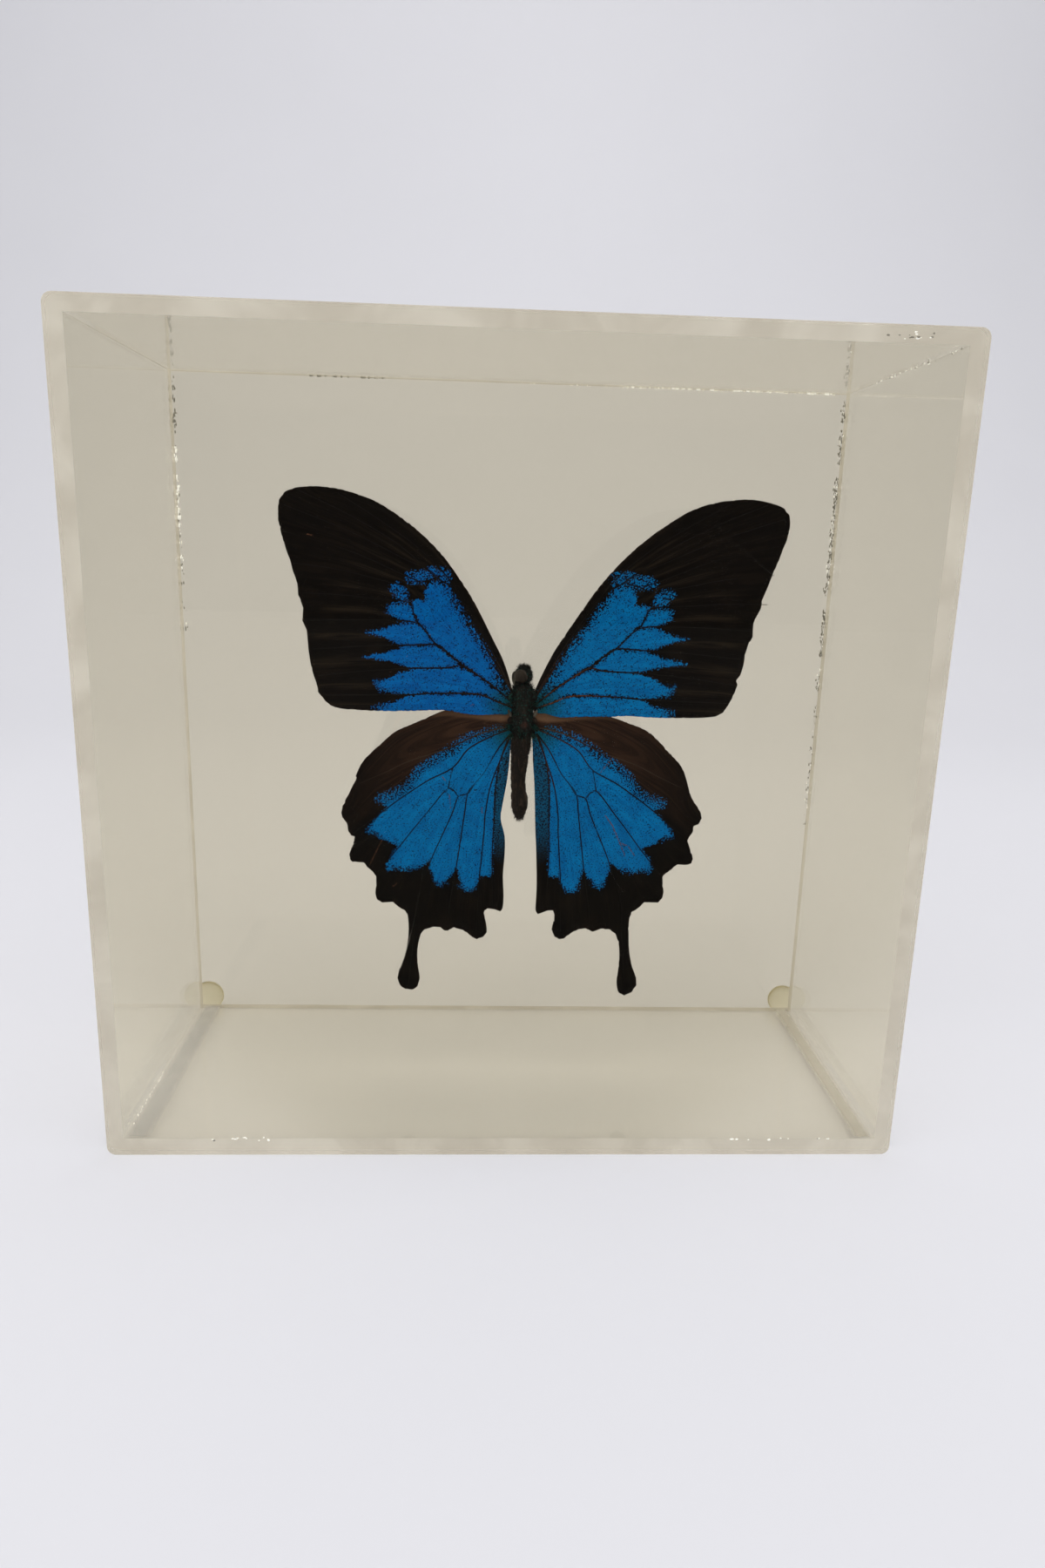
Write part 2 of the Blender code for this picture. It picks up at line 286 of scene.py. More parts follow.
def add_sweep():
    bm = bmesh.new()
    ends = [bm.verts.new((side * SWEEP_HALF_WIDTH, SWEEP_FRONT, SWEEP_LOW)) for side in (-1, 1)]
    edge = bm.edges.new(ends)

    def pushed(edges, move):
        made = bmesh.ops.extrude_edge_only(bm, edges=edges)["geom"]
        moved = [item for item in made if isinstance(item, bmesh.types.BMVert)]
        bmesh.ops.translate(bm, verts=moved, vec=move)
        return [item for item in made if isinstance(item, bmesh.types.BMEdge) and item.is_boundary]

    def far(edges):
        return max(edges, key=lambda e: sum(v.co.y + v.co.z for v in e.verts))

    edge = far(pushed([edge], (0, SWEEP_BACK - SWEEP_FRONT, 0)))
    bmesh.ops.spin(
        bm, geom=[*edge.verts, edge], cent=(0, SWEEP_BACK, SWEEP_LOW + SWEEP_RADIUS), axis=(1, 0, 0),
        angle=math.pi / 2, steps=SWEEP_STEPS, use_merge=False,
    )
    edge = far([e for e in bm.edges if e.is_boundary and run_along(e, 0) > SWEEP_HALF_WIDTH])
    pushed([edge], (0, 0, SWEEP_TOP - SWEEP_RADIUS))
    bmesh.ops.recalc_face_normals(bm, faces=bm.faces)
    soften(bm.faces)
    return new_object("sweep", as_mesh("sweep", bm))


def flat_mirror_share(tree, place):
    """1 for light that one face of a sheet mirrored back to the front, else 0; place is a position."""
    rays = add_node(tree, "ShaderNodeLightPath").outputs
    once = maths("COMPARE", rays["Glossy Depth"], 1.0, 0.25)
    few = maths("LESS_THAN", rays["Transmission Depth"], 2.5)
    straight = maths("LESS_THAN", rays["Diffuse Depth"], 0.5)
    toward = add_node(tree, "ShaderNodeVectorMath", {0: place}, operation="NORMALIZE").outputs[0]
    in_front = ease(axes_of(toward)["Y"], -0.6, -0.85)
    return times(times(once, few), times(straight, in_front))


sweep = add_sweep()
paper, paper_tree, paper_shader = new_material("pale paper", Roughness=0.9, Specular_IOR_Level=0.1)
paper_place = object_place(paper_tree)
paper_tone = tint(cloud(paper_place, 3.0, 4.0), colour(221, 220, 223), colour(226, 225, 228))
paper_share = flat_mirror_share(paper_tree, paper_place)
paper_tone = tint(paper_share, paper_tone, colour(32, 31, 31))
paper_tree.links.new(paper_tone, paper_shader.inputs["Base Color"])
sweep.data.materials.append(paper)
print(f"sweep of {len(sweep.data.polygons)} faces")

# %% [markdown]
# The light is soft and even: a pale surround, two wide lamps in front that fill each other's
# shadows, and one behind the case that keeps the backdrop bright. Nothing small and bright stands
# where the front sheet would mirror it, because a mirrored lamp would hide the butterfly.

# %% Light
WORLD_COLOUR = (0.93, 0.95, 1.0, 1)
WORLD_STRENGTH = 0.44
SHADED_SHARE = 0.97


def add_lamp(name, place, target, size, power):
    data = bpy.data.lights.new(name, "AREA")
    data.shape = "SQUARE"
    data.size = size
    data.energy = power
    lamp = new_object(name, data)
    lamp.location = place
    lamp.rotation_euler = (Vector(target) - Vector(place)).to_track_quat("-Z", "Y").to_euler()
    return lamp


world = bpy.data.worlds.new("soft surround")
world.use_nodes = True
surround = world.node_tree.nodes["Background"]
surround.inputs["Color"].default_value = WORLD_COLOUR
toward = add_node(world.node_tree, "ShaderNodeTexCoord").outputs["Generated"]
shaded = flat_mirror_share(world.node_tree, toward)
strength = times(minus(1.0, times(shaded, SHADED_SHARE)), WORLD_STRENGTH)
world.node_tree.links.new(strength, surround.inputs["Strength"])
bpy.context.scene.world = world
add_lamp("left_lamp", (-1.0, -0.85, 1.15), (0, 0, 0.08), 1.4, 11.2)
add_lamp("right_lamp", (1.0, -0.8, 1.25), (0, 0, 0.08), 1.4, 8.6)
back_lamp = add_lamp("back_lamp", (0.15, 0.2, 1.7), (0, 0.68, 0.0), 1.2, 10.1)
back_lamp.visible_glossy = False
bpy.context.scene.view_settings.view_transform = "Standard"
# Light zigzags many times along a sheet before it leaves at an edge.
paths = bpy.context.scene.cycles
paths.max_bounces = 28
paths.glossy_bounces = 20
paths.transmission_bounces = 28
paths.transparent_max_bounces = 16

# %% [markdown]
# Acrylic bends light by its index of 1.49 and mirrors a little. This old case has turned a warm
# grey-beige: against a white wall the photograph shows everything behind the sheets in that tone.
# The shader's own colour tints what passes through a sheet once, and a volume's absorption deepens
# the tone where a ray runs along a sheet, as it does at the edges.
# Lamps can't shine through bent glass in a path tracer without long waits, so for shadow rays and
# for soft light the sheet is simply see-through. Light that was mirrored many times inside a sheet
# is let out too, because a path that ends there would leave the sheet's edge black.
# The case also has a few hair-fine scratches and soft smears.

# %% Clear acrylic
ACRYLIC_IOR = 1.49


def scratch_group():
    """One curved hair scratch on the front sheet: place, direction, length, bow and width in metres."""
    names = ("Position", "Across", "Up", "Angle", "Half Length", "Bow", "Half Width")
    group, given, mask = new_group("Hair scratch", names, "Mask")
    place = axes_of(given["Position"])
    across = minus(place["X"], given["Across"])
    up = minus(place["Z"], given["Up"])
    cosine, sine = maths("COSINE", given["Angle"]), maths("SINE", given["Angle"])
    along = plus(times(across, cosine), times(up, sine))
    aside = minus(times(up, cosine), times(across, sine))
    share = maths("DIVIDE", along, given["Half Length"])
    bowed = times(times(share, share), given["Bow"])
    offset = maths("ABSOLUTE", minus(aside, bowed))
    near = minus(1.0, maths("DIVIDE", offset, given["Half Width"]))
    inside = maths("LESS_THAN", maths("ABSOLUTE", share), 1.0)
    group.links.new(times(maths("MAXIMUM", near, 0.0), inside), mask)
    return group


def smear_group():
    """Soft smears, as a cloth or a finger leaves on a glossy surface."""
    group, given, value = new_group("Smears", ("Scale", "Least", "Amount"), "Value")
    marks = cloud(object_place(group), given["Scale"], 5.0, Distortion=1.2)
    group.links.new(plus(times(ease(marks, 0.45, 0.75), given["Amount"]), given["Least"]), value)
    return group


HAIR_SCRATCH = scratch_group()
SMEARS = smear_group()
SCRATCH_HALF_WIDTH = 0.06 * MM
SCRATCH_ROUGHNESS = 0.16
SMEAR_SCALE = 45
THROUGH = (0.992, 0.990, 0.982, 1)
MOST_MIRRORINGS = 5.5
# across, up, angle in degrees, half length and bow in millimetres
FRONT_SCRATCHES = (
    (52, 132, -32, 17, 1.5), (31, 52, 22, 20, 2.0), (-17, 40, 41, 13, 0.8), (47, 83, 48, 9, 0.5),
    (-33, 74, 24, 7, 0.4), (-21, 57, 78, 12, 0.6), (58, 92, 61, 12, 1.0), (20, 71, -66, 9, 1.2),
)


def clear_plastic(name, passed, absorbed, density, least, smear, scratches=()):
    """Clear plastic: the colour that one sheet passes, and the colour that a thick piece takes on."""
    material, tree, shader = new_material(
        name, Base_Color=passed, Transmission_Weight=1.0, IOR=ACRYLIC_IOR
    )
    inputs = {"Scale": SMEAR_SCALE, "Least": least, "Amount": smear}
    roughness = add_node(tree, "ShaderNodeGroup", inputs, node_tree=SMEARS).outputs["Value"]
    place = object_place(tree)
    for across, up, angle, half_length, bow in scratches:
        inputs = {
            "Position": place, "Across": across * MM, "Up": up * MM, "Angle": math.radians(angle),
            "Half Length": half_length * MM, "Bow": bow * MM, "Half Width": SCRATCH_HALF_WIDTH,
        }
        mask = add_node(tree, "ShaderNodeGroup", inputs, node_tree=HAIR_SCRATCH).outputs["Mask"]
        roughness = plus(roughness, times(mask, SCRATCH_ROUGHNESS))
    tree.links.new(roughness, shader.inputs["Roughness"])
    rays = add_node(tree, "ShaderNodeLightPath").outputs
    through = add_node(tree, "ShaderNodeBsdfTransparent", {"Color": THROUGH})
    trapped = maths("GREATER_THAN", rays["Glossy Depth"], MOST_MIRRORINGS)
    mixed = shader
    for share in (rays["Is Diffuse Ray"], rays["Is Shadow Ray"], trapped):
        mixed = add_node(tree, "ShaderNodeMixShader", {0: share, 1: mixed.outputs[0], 2: through.outputs[0]})
    absorption = add_node(tree, "ShaderNodeVolumeAbsorption", {"Color": absorbed, "Density": density})
    output = tree.nodes["Material Output"]
    tree.links.new(mixed.outputs[0], output.inputs["Surface"])
    tree.links.new(absorption.outputs[0], output.inputs["Volume"])
    return material


acrylic = clear_plastic(
    "clear acrylic", (0.898, 0.868, 0.776, 1), (0.72, 0.66, 0.50, 1), 3.0, 0.0, 0.035, FRONT_SCRATCHES
)
print(f"{len(FRONT_SCRATCHES)} scratches, index {ACRYLIC_IOR}")

# %% [markdown]
# Glued acrylic sheets become one body: the cement melts both faces together, so light passes from
# one sheet into the next without a gap. Six separate boxes would show six gaps. The case is
# therefore one closed block with rounded corners, and a second, turned-over block inside it for the
# hollow. A very small bevel along the hollow's edges is the bead of cement that shows as a fine line.

# %% Case
CORNER_RADIUS = 2.0 * MM
EASED_EDGE = 0.12 * MM
CEMENT_BEAD = 0.1 * MM


def finish_piece(name, bm, materials, slot, *stands_for):
    """Makes an object of the mesh, and says what it rides on, its finish and what it replaces."""
    mesh = as_mesh(name, bm)
    for material in materials:
        mesh.materials.append(material)
    piece = new_object(name, mesh)
    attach(piece, "root")
    if stands_for:
        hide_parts(*stands_for)
    print(f"{name}: {len(mesh.polygons)} faces")
    return piece


def add_block(bm, low, high):
    low, high = Vector(low), Vector(high)
    place = Matrix.Translation((low + high) / 2) @ Matrix.Diagonal((*(high - low), 1))
    bmesh.ops.create_cube(bm, size=1, matrix=place)


def bevel(bm, geom, offset, segments, affect="EDGES"):
    bmesh.ops.bevel(
        bm, geom=geom, offset=offset, segments=segments, profile=0.5, affect=affect, material=-1
    )


def add_case():
    bm = bmesh.new()
    add_block(bm, (-half_width, front_y, 0), (half_width, back_y, case_height))
    bevel(bm, [e for e in bm.edges if run_along(e, 1) > sheet], CORNER_RADIUS, 8)
    bevel(bm, [e for e in bm.edges if run_along(e, 1) < EASED_EDGE], EASED_EDGE, 3)
    inside = bmesh.new()
    low = (-half_width + sheet, front_y + sheet, sheet)
    high = (half_width - sheet, back_y - sheet, case_height - sheet)
    add_block(inside, low, high)
    bevel(inside, inside.edges[:], CEMENT_BEAD, 2)
    bmesh.ops.reverse_faces(inside, faces=inside.faces)
    hollow = as_mesh("hollow", inside)
    bm.from_mesh(hollow)
    bpy.data.meshes.remove(hollow)
    panels = [name for name in sorted(frame["nodes"]) if name.endswith("_panel")]
    finish_piece("clear_case", bm, [acrylic], "acrylic", *panels)


add_case()

# %% [markdown]
# A cemented joint isn't quite invisible. Seen face on through the front sheet it is a milky band as
# wide as a sheet is thick, and that band frames the whole front and back of the case. Each band is
# a square whose middle is inset and taken out, given a hair of thickness. Cement also ran over the
# floor of the case beside two corners and dried there as a thin film, a beige one at the right and
# a grey one at the left.

# %% Joint bands and dried cement
FILM = 0.04 * MM
HAIR_GAP = 0.01 * MM
BAND_SHORT, BAND_OVER = 0.02 * MM, 0.08 * MM
INNER_FADE, OUTER_FADE, FADE_SOFTNESS = 1.3 * MM, 0.7 * MM, 0.9 * MM
WAVINESS = 0.4 * MM
SIDE_IN = half_width - sheet
BACK_JOINT = back_y - sheet
FRONT_JOINT = front_y + sheet
CEILING = case_height - sheet


def film_material(name, darker, lighter, clear_alpha, milky_alpha, scale, strip=None):
    """Cement: its colour and cover change from place to place, and a strip fades at its two sides."""
    material, tree, shader = new_material(name, Roughness=0.45, Specular_IOR_Level=0.1)
    place = object_place(tree)
    mottle = cloud(place, scale, 5.0, Distortion=0.6)
    tree.links.new(tint(ease(mottle, 0.35, 0.7), darker, lighter), shader.inputs["Base Color"])
    cover = plus(times(ease(mottle, 0.25, 0.7), milky_alpha - clear_alpha), clear_alpha)
    if strip:
        aside = maths("ABSOLUTE", axes_of(place)["X"])
        fades = in_ring(aside, strip[0] + INNER_FADE, strip[1] - OUTER_FADE, FADE_SOFTNESS)
        cover = times(cover, fades)
    tree.links.new(cover, shader.inputs["Alpha"])
    return material


band_finish = film_material("milky joint", colour(222, 215, 201), colour(231, 225, 212), 0.84, 0.97, 60.0)
RIGHT_STRIP = (SIDE_IN - 5.4 * MM, SIDE_IN - 0.3 * MM)
LEFT_STRIP = (SIDE_IN - 6.6 * MM, SIDE_IN - 0.3 * MM)
beige_cement = film_material(
    "beige cement", colour(200, 193, 176), colour(207, 200, 184), 0.46, 0.58, 50.0, RIGHT_STRIP
)
grey_cement = film_material(
    "grey cement", colour(184, 181, 175), colour(193, 190, 184), 0.18, 0.34, 50.0, LEFT_STRIP
)


def add_band(bm, depth):
    """A square frame, just wider than a sheet is thick, standing at this depth."""
    place = Matrix.Translation((0, depth, case_height / 2)) @ Matrix.Rotation(math.pi / 2, 4, "X")
    half = half_width - BAND_SHORT
    square = bmesh.ops.create_grid(bm, x_segments=1, y_segments=1, size=half, matrix=place)["verts"]
    bevel(bm, square, CORNER_RADIUS, 6, "VERTICES")
    face = max(bm.faces, key=lambda f: f.calc_area())
    outer = set(bm.verts)
    bmesh.ops.inset_individual(bm, faces=[face], thickness=sheet + BAND_OVER, use_even_offset=True)
    # The rounded corners cross over on the inside, so they are drawn together to square ones there.
    inner = half - sheet - BAND_OVER
    for vert in set(bm.verts) - outer:
        vert.co.x = max(-inner, min(inner, vert.co.x))
        vert.co.z = max(case_height / 2 - inner, min(case_height / 2 + inner, vert.co.z))
    bmesh.ops.delete(bm, geom=[face], context="FACES")
    bmesh.ops.remove_doubles(bm, verts=bm.verts, dist=1e-6)


def add_bands():
    bm = bmesh.new()
    for depth in (FRONT_JOINT, BACK_JOINT):
        add_band(bm, depth)
    bmesh.ops.solidify(bm, geom=bm.faces[:], thickness=FILM)
    bmesh.ops.recalc_face_normals(bm, faces=bm.faces)
    # Each band lies just inside the front or the back sheet, and not in the hollow.
    for vert in bm.verts:
        depth = FRONT_JOINT if vert.co.y < 0 else BACK_JOINT
        vert.co.y += math.copysign(FILM + HAIR_GAP, depth)
    finish_piece("joint_bands", bm, [band_finish], "acrylic")


def add_floor_film(name, side, strip, finish):
    """A strip of dried cement on the case's floor, from its front to its back, a little wavy."""
    bm = bmesh.new()
    ends = sorted((side * strip[0], side * strip[1]))
    low = (ends[0], FRONT_JOINT + MM, sheet + HAIR_GAP)
    high = (ends[1], BACK_JOINT - MM, sheet + HAIR_GAP + FILM)
    add_block(bm, low, high)
    long_edges = [e for e in bm.edges if run_along(e, 1) > MM]
    bmesh.ops.subdivide_edges(bm, edges=long_edges, cuts=24, use_grid_fill=True)
    for vert in bm.verts:
        if abs(vert.co.x) < strip[0] + 0.1 * MM:
            vert.co.x += WAVINESS * noise.noise(Vector((0, vert.co.y * 90, side)))
    bmesh.ops.recalc_face_normals(bm, faces=bm.faces)
    finish_piece(name, bm, [finish], "acrylic")


add_bands()
add_floor_film("cement_film_right", 1, RIGHT_STRIP, beige_cement)
add_floor_film("cement_film_left", -1, LEFT_STRIP, grey_cement)

# %% [markdown]
# Where the cement didn't reach, it left small flat bubbles. They show as broken dark lines down the
# two joints at the back, as a chain of bright and dark specks along the top right joint, and as
# short bright lines along the back of the ceiling. A bubble deep in plastic looks dark or bright by
# turns, because it mirrors what is beside it. That mirroring is painted into two finishes: a painted
# dark reflection, and a painted bright one that also glows weakly as a painted glint. Each bubble is
# a small flattened ball with few faces, scattered along its joint with a seeded random choice, so
# that every run gives the same case.

# %% Bubbles in the joints
def bubble_material(name, darker, lighter, painted_glow):
    material, tree, shader = new_material(name, Roughness=0.3, Specular_IOR_Level=0.4)
    # The emission is a painted glint: the bubble glows, though it is no lamp.
    shader.inputs["Emission Color"].default_value = lighter
    shader.inputs["Emission Strength"].default_value = painted_glow
    shade = tint(cloud(object_place(tree), 900.0, 1.0), darker, lighter)
    tree.links.new(shade, shader.inputs["Base Color"])
    return material


# start and end of each chain in millimetres, how many, size, spread, share of bright ones with a painted
# glint
SIDE, BACK, FRONT, TOP = SIDE_IN / MM, BACK_JOINT / MM, FRONT_JOINT / MM, CEILING / MM
BUBBLE_CHAINS = (
    ((-SIDE + 0.5, BACK, 176), (-SIDE + 0.5, BACK, 161), 44, 0.40, 0.2, 0.0),
    ((-SIDE + 0.4, BACK, 160), (-SIDE + 0.4, BACK, 139), 60, 0.44, 0.2, 0.9),
    ((-SIDE + 0.5, BACK, 139), (-SIDE + 0.5, BACK, 112), 34, 0.36, 0.3, 0.4),
    ((SIDE - 0.5, BACK, 176), (SIDE - 0.5, BACK, 96), 420, 0.36, 0.28, 0.15),
    ((SIDE - 0.5, BACK, 96), (SIDE - 0.5, BACK, 60), 70, 0.30, 0.28, 0.2),
    ((SIDE - 0.2, FRONT + 2, TOP), (SIDE - 0.2, 14, TOP), 60, 0.30, 0.2, 0.6),
    ((-SIDE, FRONT + 6, TOP), (-SIDE, 30, TOP), 120, 0.14, 0.05, 0.0),
    ((-52, BACK, TOP), (-28, BACK, TOP), 40, 0.32, 0.10, 0.0),
    ((28, BACK + 0.2, TOP), (84, BACK + 0.2, TOP), 210, 0.40, 0.08, 1.0),
    ((2, BACK + 0.2, TOP), (26, BACK + 0.2, TOP), 50, 0.26, 0.06, 1.0),
    ((-SIDE + 0.4, FRONT + 5, 3.1), (-SIDE + 0.4, -6, 3.1), 70, 0.20, 0.12, 1.0),
    ((-70, FRONT - 0.9, 3.2), (-54, FRONT - 0.9, 3.2), 20, 0.32, 0.2, 0.9),
    ((52, FRONT - 0.9, 3.2), (82, FRONT - 0.9, 3.2), 14, 0.38, 0.2, 0.9),
    ((70, FRONT - 1.2, 178), (79, FRONT - 1.2, 178), 26, 0.26, 0.5, 0.4),
)


def add_bubbles():
    rng = random.Random(11)
    bm = bmesh.new()
    for start, end, count, size, spread, bright in BUBBLE_CHAINS:
        start, end = Vector(start) * MM, Vector(end) * MM
        along = (end - start).normalized()
        sideways = along.orthogonal().normalized()
        other = along.cross(sideways)
        for _ in range(count):
            reach = rng.random()
            # Bubbles gather in runs, with clear stretches between them.
            if noise.noise(Vector((reach * 14 + size * 50, start.x * 40, 0.5))) < -0.3:
                continue
            radius = size * MM * rng.uniform(0.4, 1.0)
            place = start.lerp(end, reach)
            place += sideways * rng.gauss(0, spread) * MM + other * rng.gauss(0, spread) * MM
            shape = Matrix.Translation(place) @ along.to_track_quat("Z", "Y").to_matrix().to_4x4()
            shape = shape @ Matrix.Diagonal((0.55, 0.8, rng.uniform(0.8, 1.9), 1))
            made = bmesh.ops.create_icosphere(bm, subdivisions=1, radius=radius, matrix=shape)
            # The bright finish is a painted reflection with a weak painted glow.
            if rng.random() < bright:
                for face in {face for vert in made["verts"] for face in vert.link_faces}:
                    face.material_index = 1
    for face in bm.faces:
        face.smooth = True
    finishes = [
        bubble_material("bubbles with painted dark reflection", colour(122, 119, 108), colour(164, 160, 146), 0.0),
        bubble_material("bubbles with painted bright glint", colour(232, 231, 226), colour(250, 250, 246), 0.35),
    ]
    finish_piece("joint_bubbles", bm, finishes, "acrylic")


add_bubbles()

# %% [markdown]
# The bumpers are soft clear domes that keep the case off a wall. With age they turn yellowish and
# a little cloudy. A dome is a quarter arc that is spun through a full turn, with its flat side
# against the back sheet.

# %% Bumpers
def spin_profile(bm, chain, steps, place):
    """Spins half-widths and heights round an upright axis, and moves the form to its place."""
    verts = [bm.verts.new((half, 0, up)) for half, up in chain]
    edges = [bm.edges.new(pair) for pair in zip(verts, verts[1:])]
    bmesh.ops.spin(
        bm, geom=verts + edges, cent=(0, 0, 0), axis=(0, 0, 1), angle=math.tau, steps=steps, use_merge=True
    )
    bmesh.ops.remove_doubles(bm, verts=bm.verts, dist=1e-7)
    bmesh.ops.transform(bm, matrix=place, verts=bm.verts)
    bmesh.ops.recalc_face_normals(bm, faces=bm.faces)


def pointing_back(middle, depth):
    """Turns a form that was spun upright, so that it points back from this depth."""
    return Matrix.Translation((middle.x, depth, middle.z)) @ Matrix.Rotation(-math.pi / 2, 4, "X")


def add_bumper(name):
    low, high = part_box(name)
    middle = (low + high) / 2
    radius = (high.x - low.x) / 2
    height = high.y - back_y
    bm = bmesh.new()
    rim = 0.35 * height
    arc = [math.radians(90 * i / 10) for i in range(11)]
    chain = [(radius * math.sin(a), rim + (height - rim) * math.cos(a)) for a in arc]
    chain += [(radius, 3 * HAIR_GAP), (radius * 0.97, HAIR_GAP), (0, HAIR_GAP)]
    spin_profile(bm, chain, 40, pointing_back(middle, back_y))
    soften(bm.faces)
    finish_piece(name + "_dome", bm, [bumper_plastic], "bumper", name)


bumper_plastic = clear_plastic(
    "yellowed clear plastic", (0.98, 0.965, 0.88, 1), (0.75, 0.66, 0.22, 1), 130.0, 0.42, 0.2
)
for name in ("bumper_left", "bumper_right"):
    add_bumper(name)

# %% [markdown]
# Something has to hold the butterfly in mid-air. A slim clear rod behind the body does, and from
# the front the body hides it. It is a disc that is pushed forward from the back sheet, with a small
# bead of cement where it meets the sheet.

# %% Mounting rod
INTO_THORAX = 0.55 * MM


def add_rod():
    low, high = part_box("mounting_rod")
    middle = (low + high) / 2
    radius = (high.x - low.x) / 2
    back = back_y - sheet - HAIR_GAP
    front = low.y - INTO_THORAX
    # half-width and depth: the rod, then the bead that widens toward the back sheet
    chain = [(0, front), (radius, front), (radius, back - 0.9 * MM), (radius + 0.3 * MM, back - 0.3 * MM)]
    chain += [(radius + 0.8 * MM, back), (0, back)]
    bm = bmesh.new()
    spin_profile(bm, chain, 32, pointing_back(middle, 0))
    finish_piece("clear_rod", bm, [acrylic], "acrylic", "mounting_rod")


add_rod()

# %% [markdown]
# A butterfly's wing is a dry membrane held open by veins, and its colour is thousands of tiny
# scales. The pattern follows the veins, so the veins come first. They are drawn as lines in
# millimetres, across from the case's middle line and up from its underside, for the left wings.
# The right wings are nearly mirror images, so they reuse the same lines, mirrored about the body.

# %% Veins of the wings
BODY_LINE, BODY_MIDDLE = 3.4, 2.9
ROOT_FORE, ROOT_HIND = (0.6, 99.6), (0.4, 93.2)

# Each vein: its number in the fan from the rear edge to the front edge, and its line.
FORE_MAIN = [(0.6, 99.4), (-1.5, 101.2), (-4.8, 103.8), (-8, 106), (-11.8, 108.3)]
FORE_CELL = [*FORE_MAIN, (-15, 111), (-18, 113)]
FORE_VEINS = [
    (1.0, [(0.6, 98.4), (-3.5, 99.8), (-6, 101), (-10, 101.6), (-20, 101.4), (-25, 101), (-45.5, 100.5)]),
    (2.0, [*FORE_MAIN, (-15, 107.7), (-20, 107.5), (-25, 107.3), (-36, 106.4), (-46.8, 105)]),
    (3.0, [*FORE_CELL, (-25, 112.8), (-36, 112.3), (-48, 111.3)]),
    (4.0, [*FORE_CELL, (-19.8, 115.2), (-22.5, 118), (-28, 118.6), (-38, 118.5), (-49.1, 118)]),
    (5.0, [(-22.5, 118.1), (-23.5, 120.5), (-24.4, 122.8), (-32, 123.5), (-41, 124.2), (-50, 124.4)]),
    (6.0, [(-24.4, 122.8), (-24.8, 126.2), (-31, 127.8), (-41, 130), (-51.2, 131.2)]),
    (7.0, [(-24.8, 126.2), (-22, 127.5), (-26, 129.2), (-38, 134.2), (-53, 138.2)]),
    (8.0, [(-22, 127.5), (-18.2, 128.8), (-21, 131), (-25, 132.5), (-38, 138.6), (-53.8, 144.4)]),
    (9.0, [(0.5, 101.6), (-6, 112.5), (-13.3, 125.2), (-18.2, 128.8), (-27, 136), (-38, 142.2),
           (-50, 147.6)]),
    (10.0, [(0.4, 102.2), (-6.4, 114.5), (-14.5, 127.5), (-22, 135), (-31, 141.2), (-42, 147.8)]),
]
FORE_EDGES = [
    (0.0, [(0, 96.6), (-15, 97), (-46, 96.8)]),
    (11.0, [(0.1, 103), (-7.5, 120), (-18, 135), (-30, 144.4), (-45, 148.4)]),
]
HIND_S, HIND_Q, HIND_P, HIND_R = (-13.8, 83.1), (-14.9, 77.8), (-12.4, 75.8), (-10.1, 76.6)
HIND_TOP = [(0.2, 93), (-1.4, 92.4), (-5.1, 90.8), (-10.1, 87.8), HIND_S]
HIND_LOW = [(0.3, 92), (-2.5, 88.5), (-4.6, 84.8), (-6.2, 81.9), (-8.3, 79.3), HIND_R]
HIND_CELL = [*HIND_LOW, HIND_P]
HIND_VEINS = [
    (1.0, [(0.0, 91.5), (-1.5, 87.5), (-2.5, 84), (-3.3, 77.9), (-3.5, 69.5), (-3.7, 60), (-3.4, 48)]),
    (2.0, [(0.3, 91.6), (-4.1, 80), (-5.6, 72), (-5.9, 66.4), (-6.4, 60.1), (-6.8, 55), (-7.4, 40.5)]),
    (3.0, [*HIND_LOW, (-10.9, 70.6), (-11.9, 63.2), (-12.7, 57.4), (-14.2, 48), (-14.8, 41.3)]),
    (4.0, [*HIND_CELL, (-13.8, 71.6), (-16.7, 64.8), (-18.8, 59.8), (-22.4, 49), (-23.4, 38), (-24.6, 26)]),
    (5.0, [HIND_P, HIND_Q, (-19.8, 71.9), (-23.5, 67.2), (-26.9, 62.7), (-33, 55.2)]),
    (6.0, [*HIND_TOP, (-19.8, 79.8), (-25.6, 75.8), (-30.1, 72.4), (-38.3, 65.8)]),
    (6.5, [HIND_S, (-14.4, 80.5), HIND_Q]),
    (7.2, [(0.3, 93.6), (-6.5, 92), (-15.1, 87.9), (-24.6, 84.5), (-29.8, 81.9), (-38.2, 78)]),
]
HIND_EDGES = [
    (0.0, [(0.1, 89), (-0.6, 78), (-1.3, 70), (-0.7, 60), (-0.8, 46)]),
    (8.4, [(0, 97.4), (-15, 97), (-30, 90), (-41, 74)]),
]
print(f"{len(FORE_VEINS)} forewing veins, {len(HIND_VEINS)} hindwing veins")

# %% [markdown]
# The blue areas are drawn the same way, as closed shapes between the veins. On the forewing they
# are a long cell and five rays that end in points, on the hindwing one fan with a toothed edge.
# Toward the front edge the blue breaks up into single scales, and a second list says where.

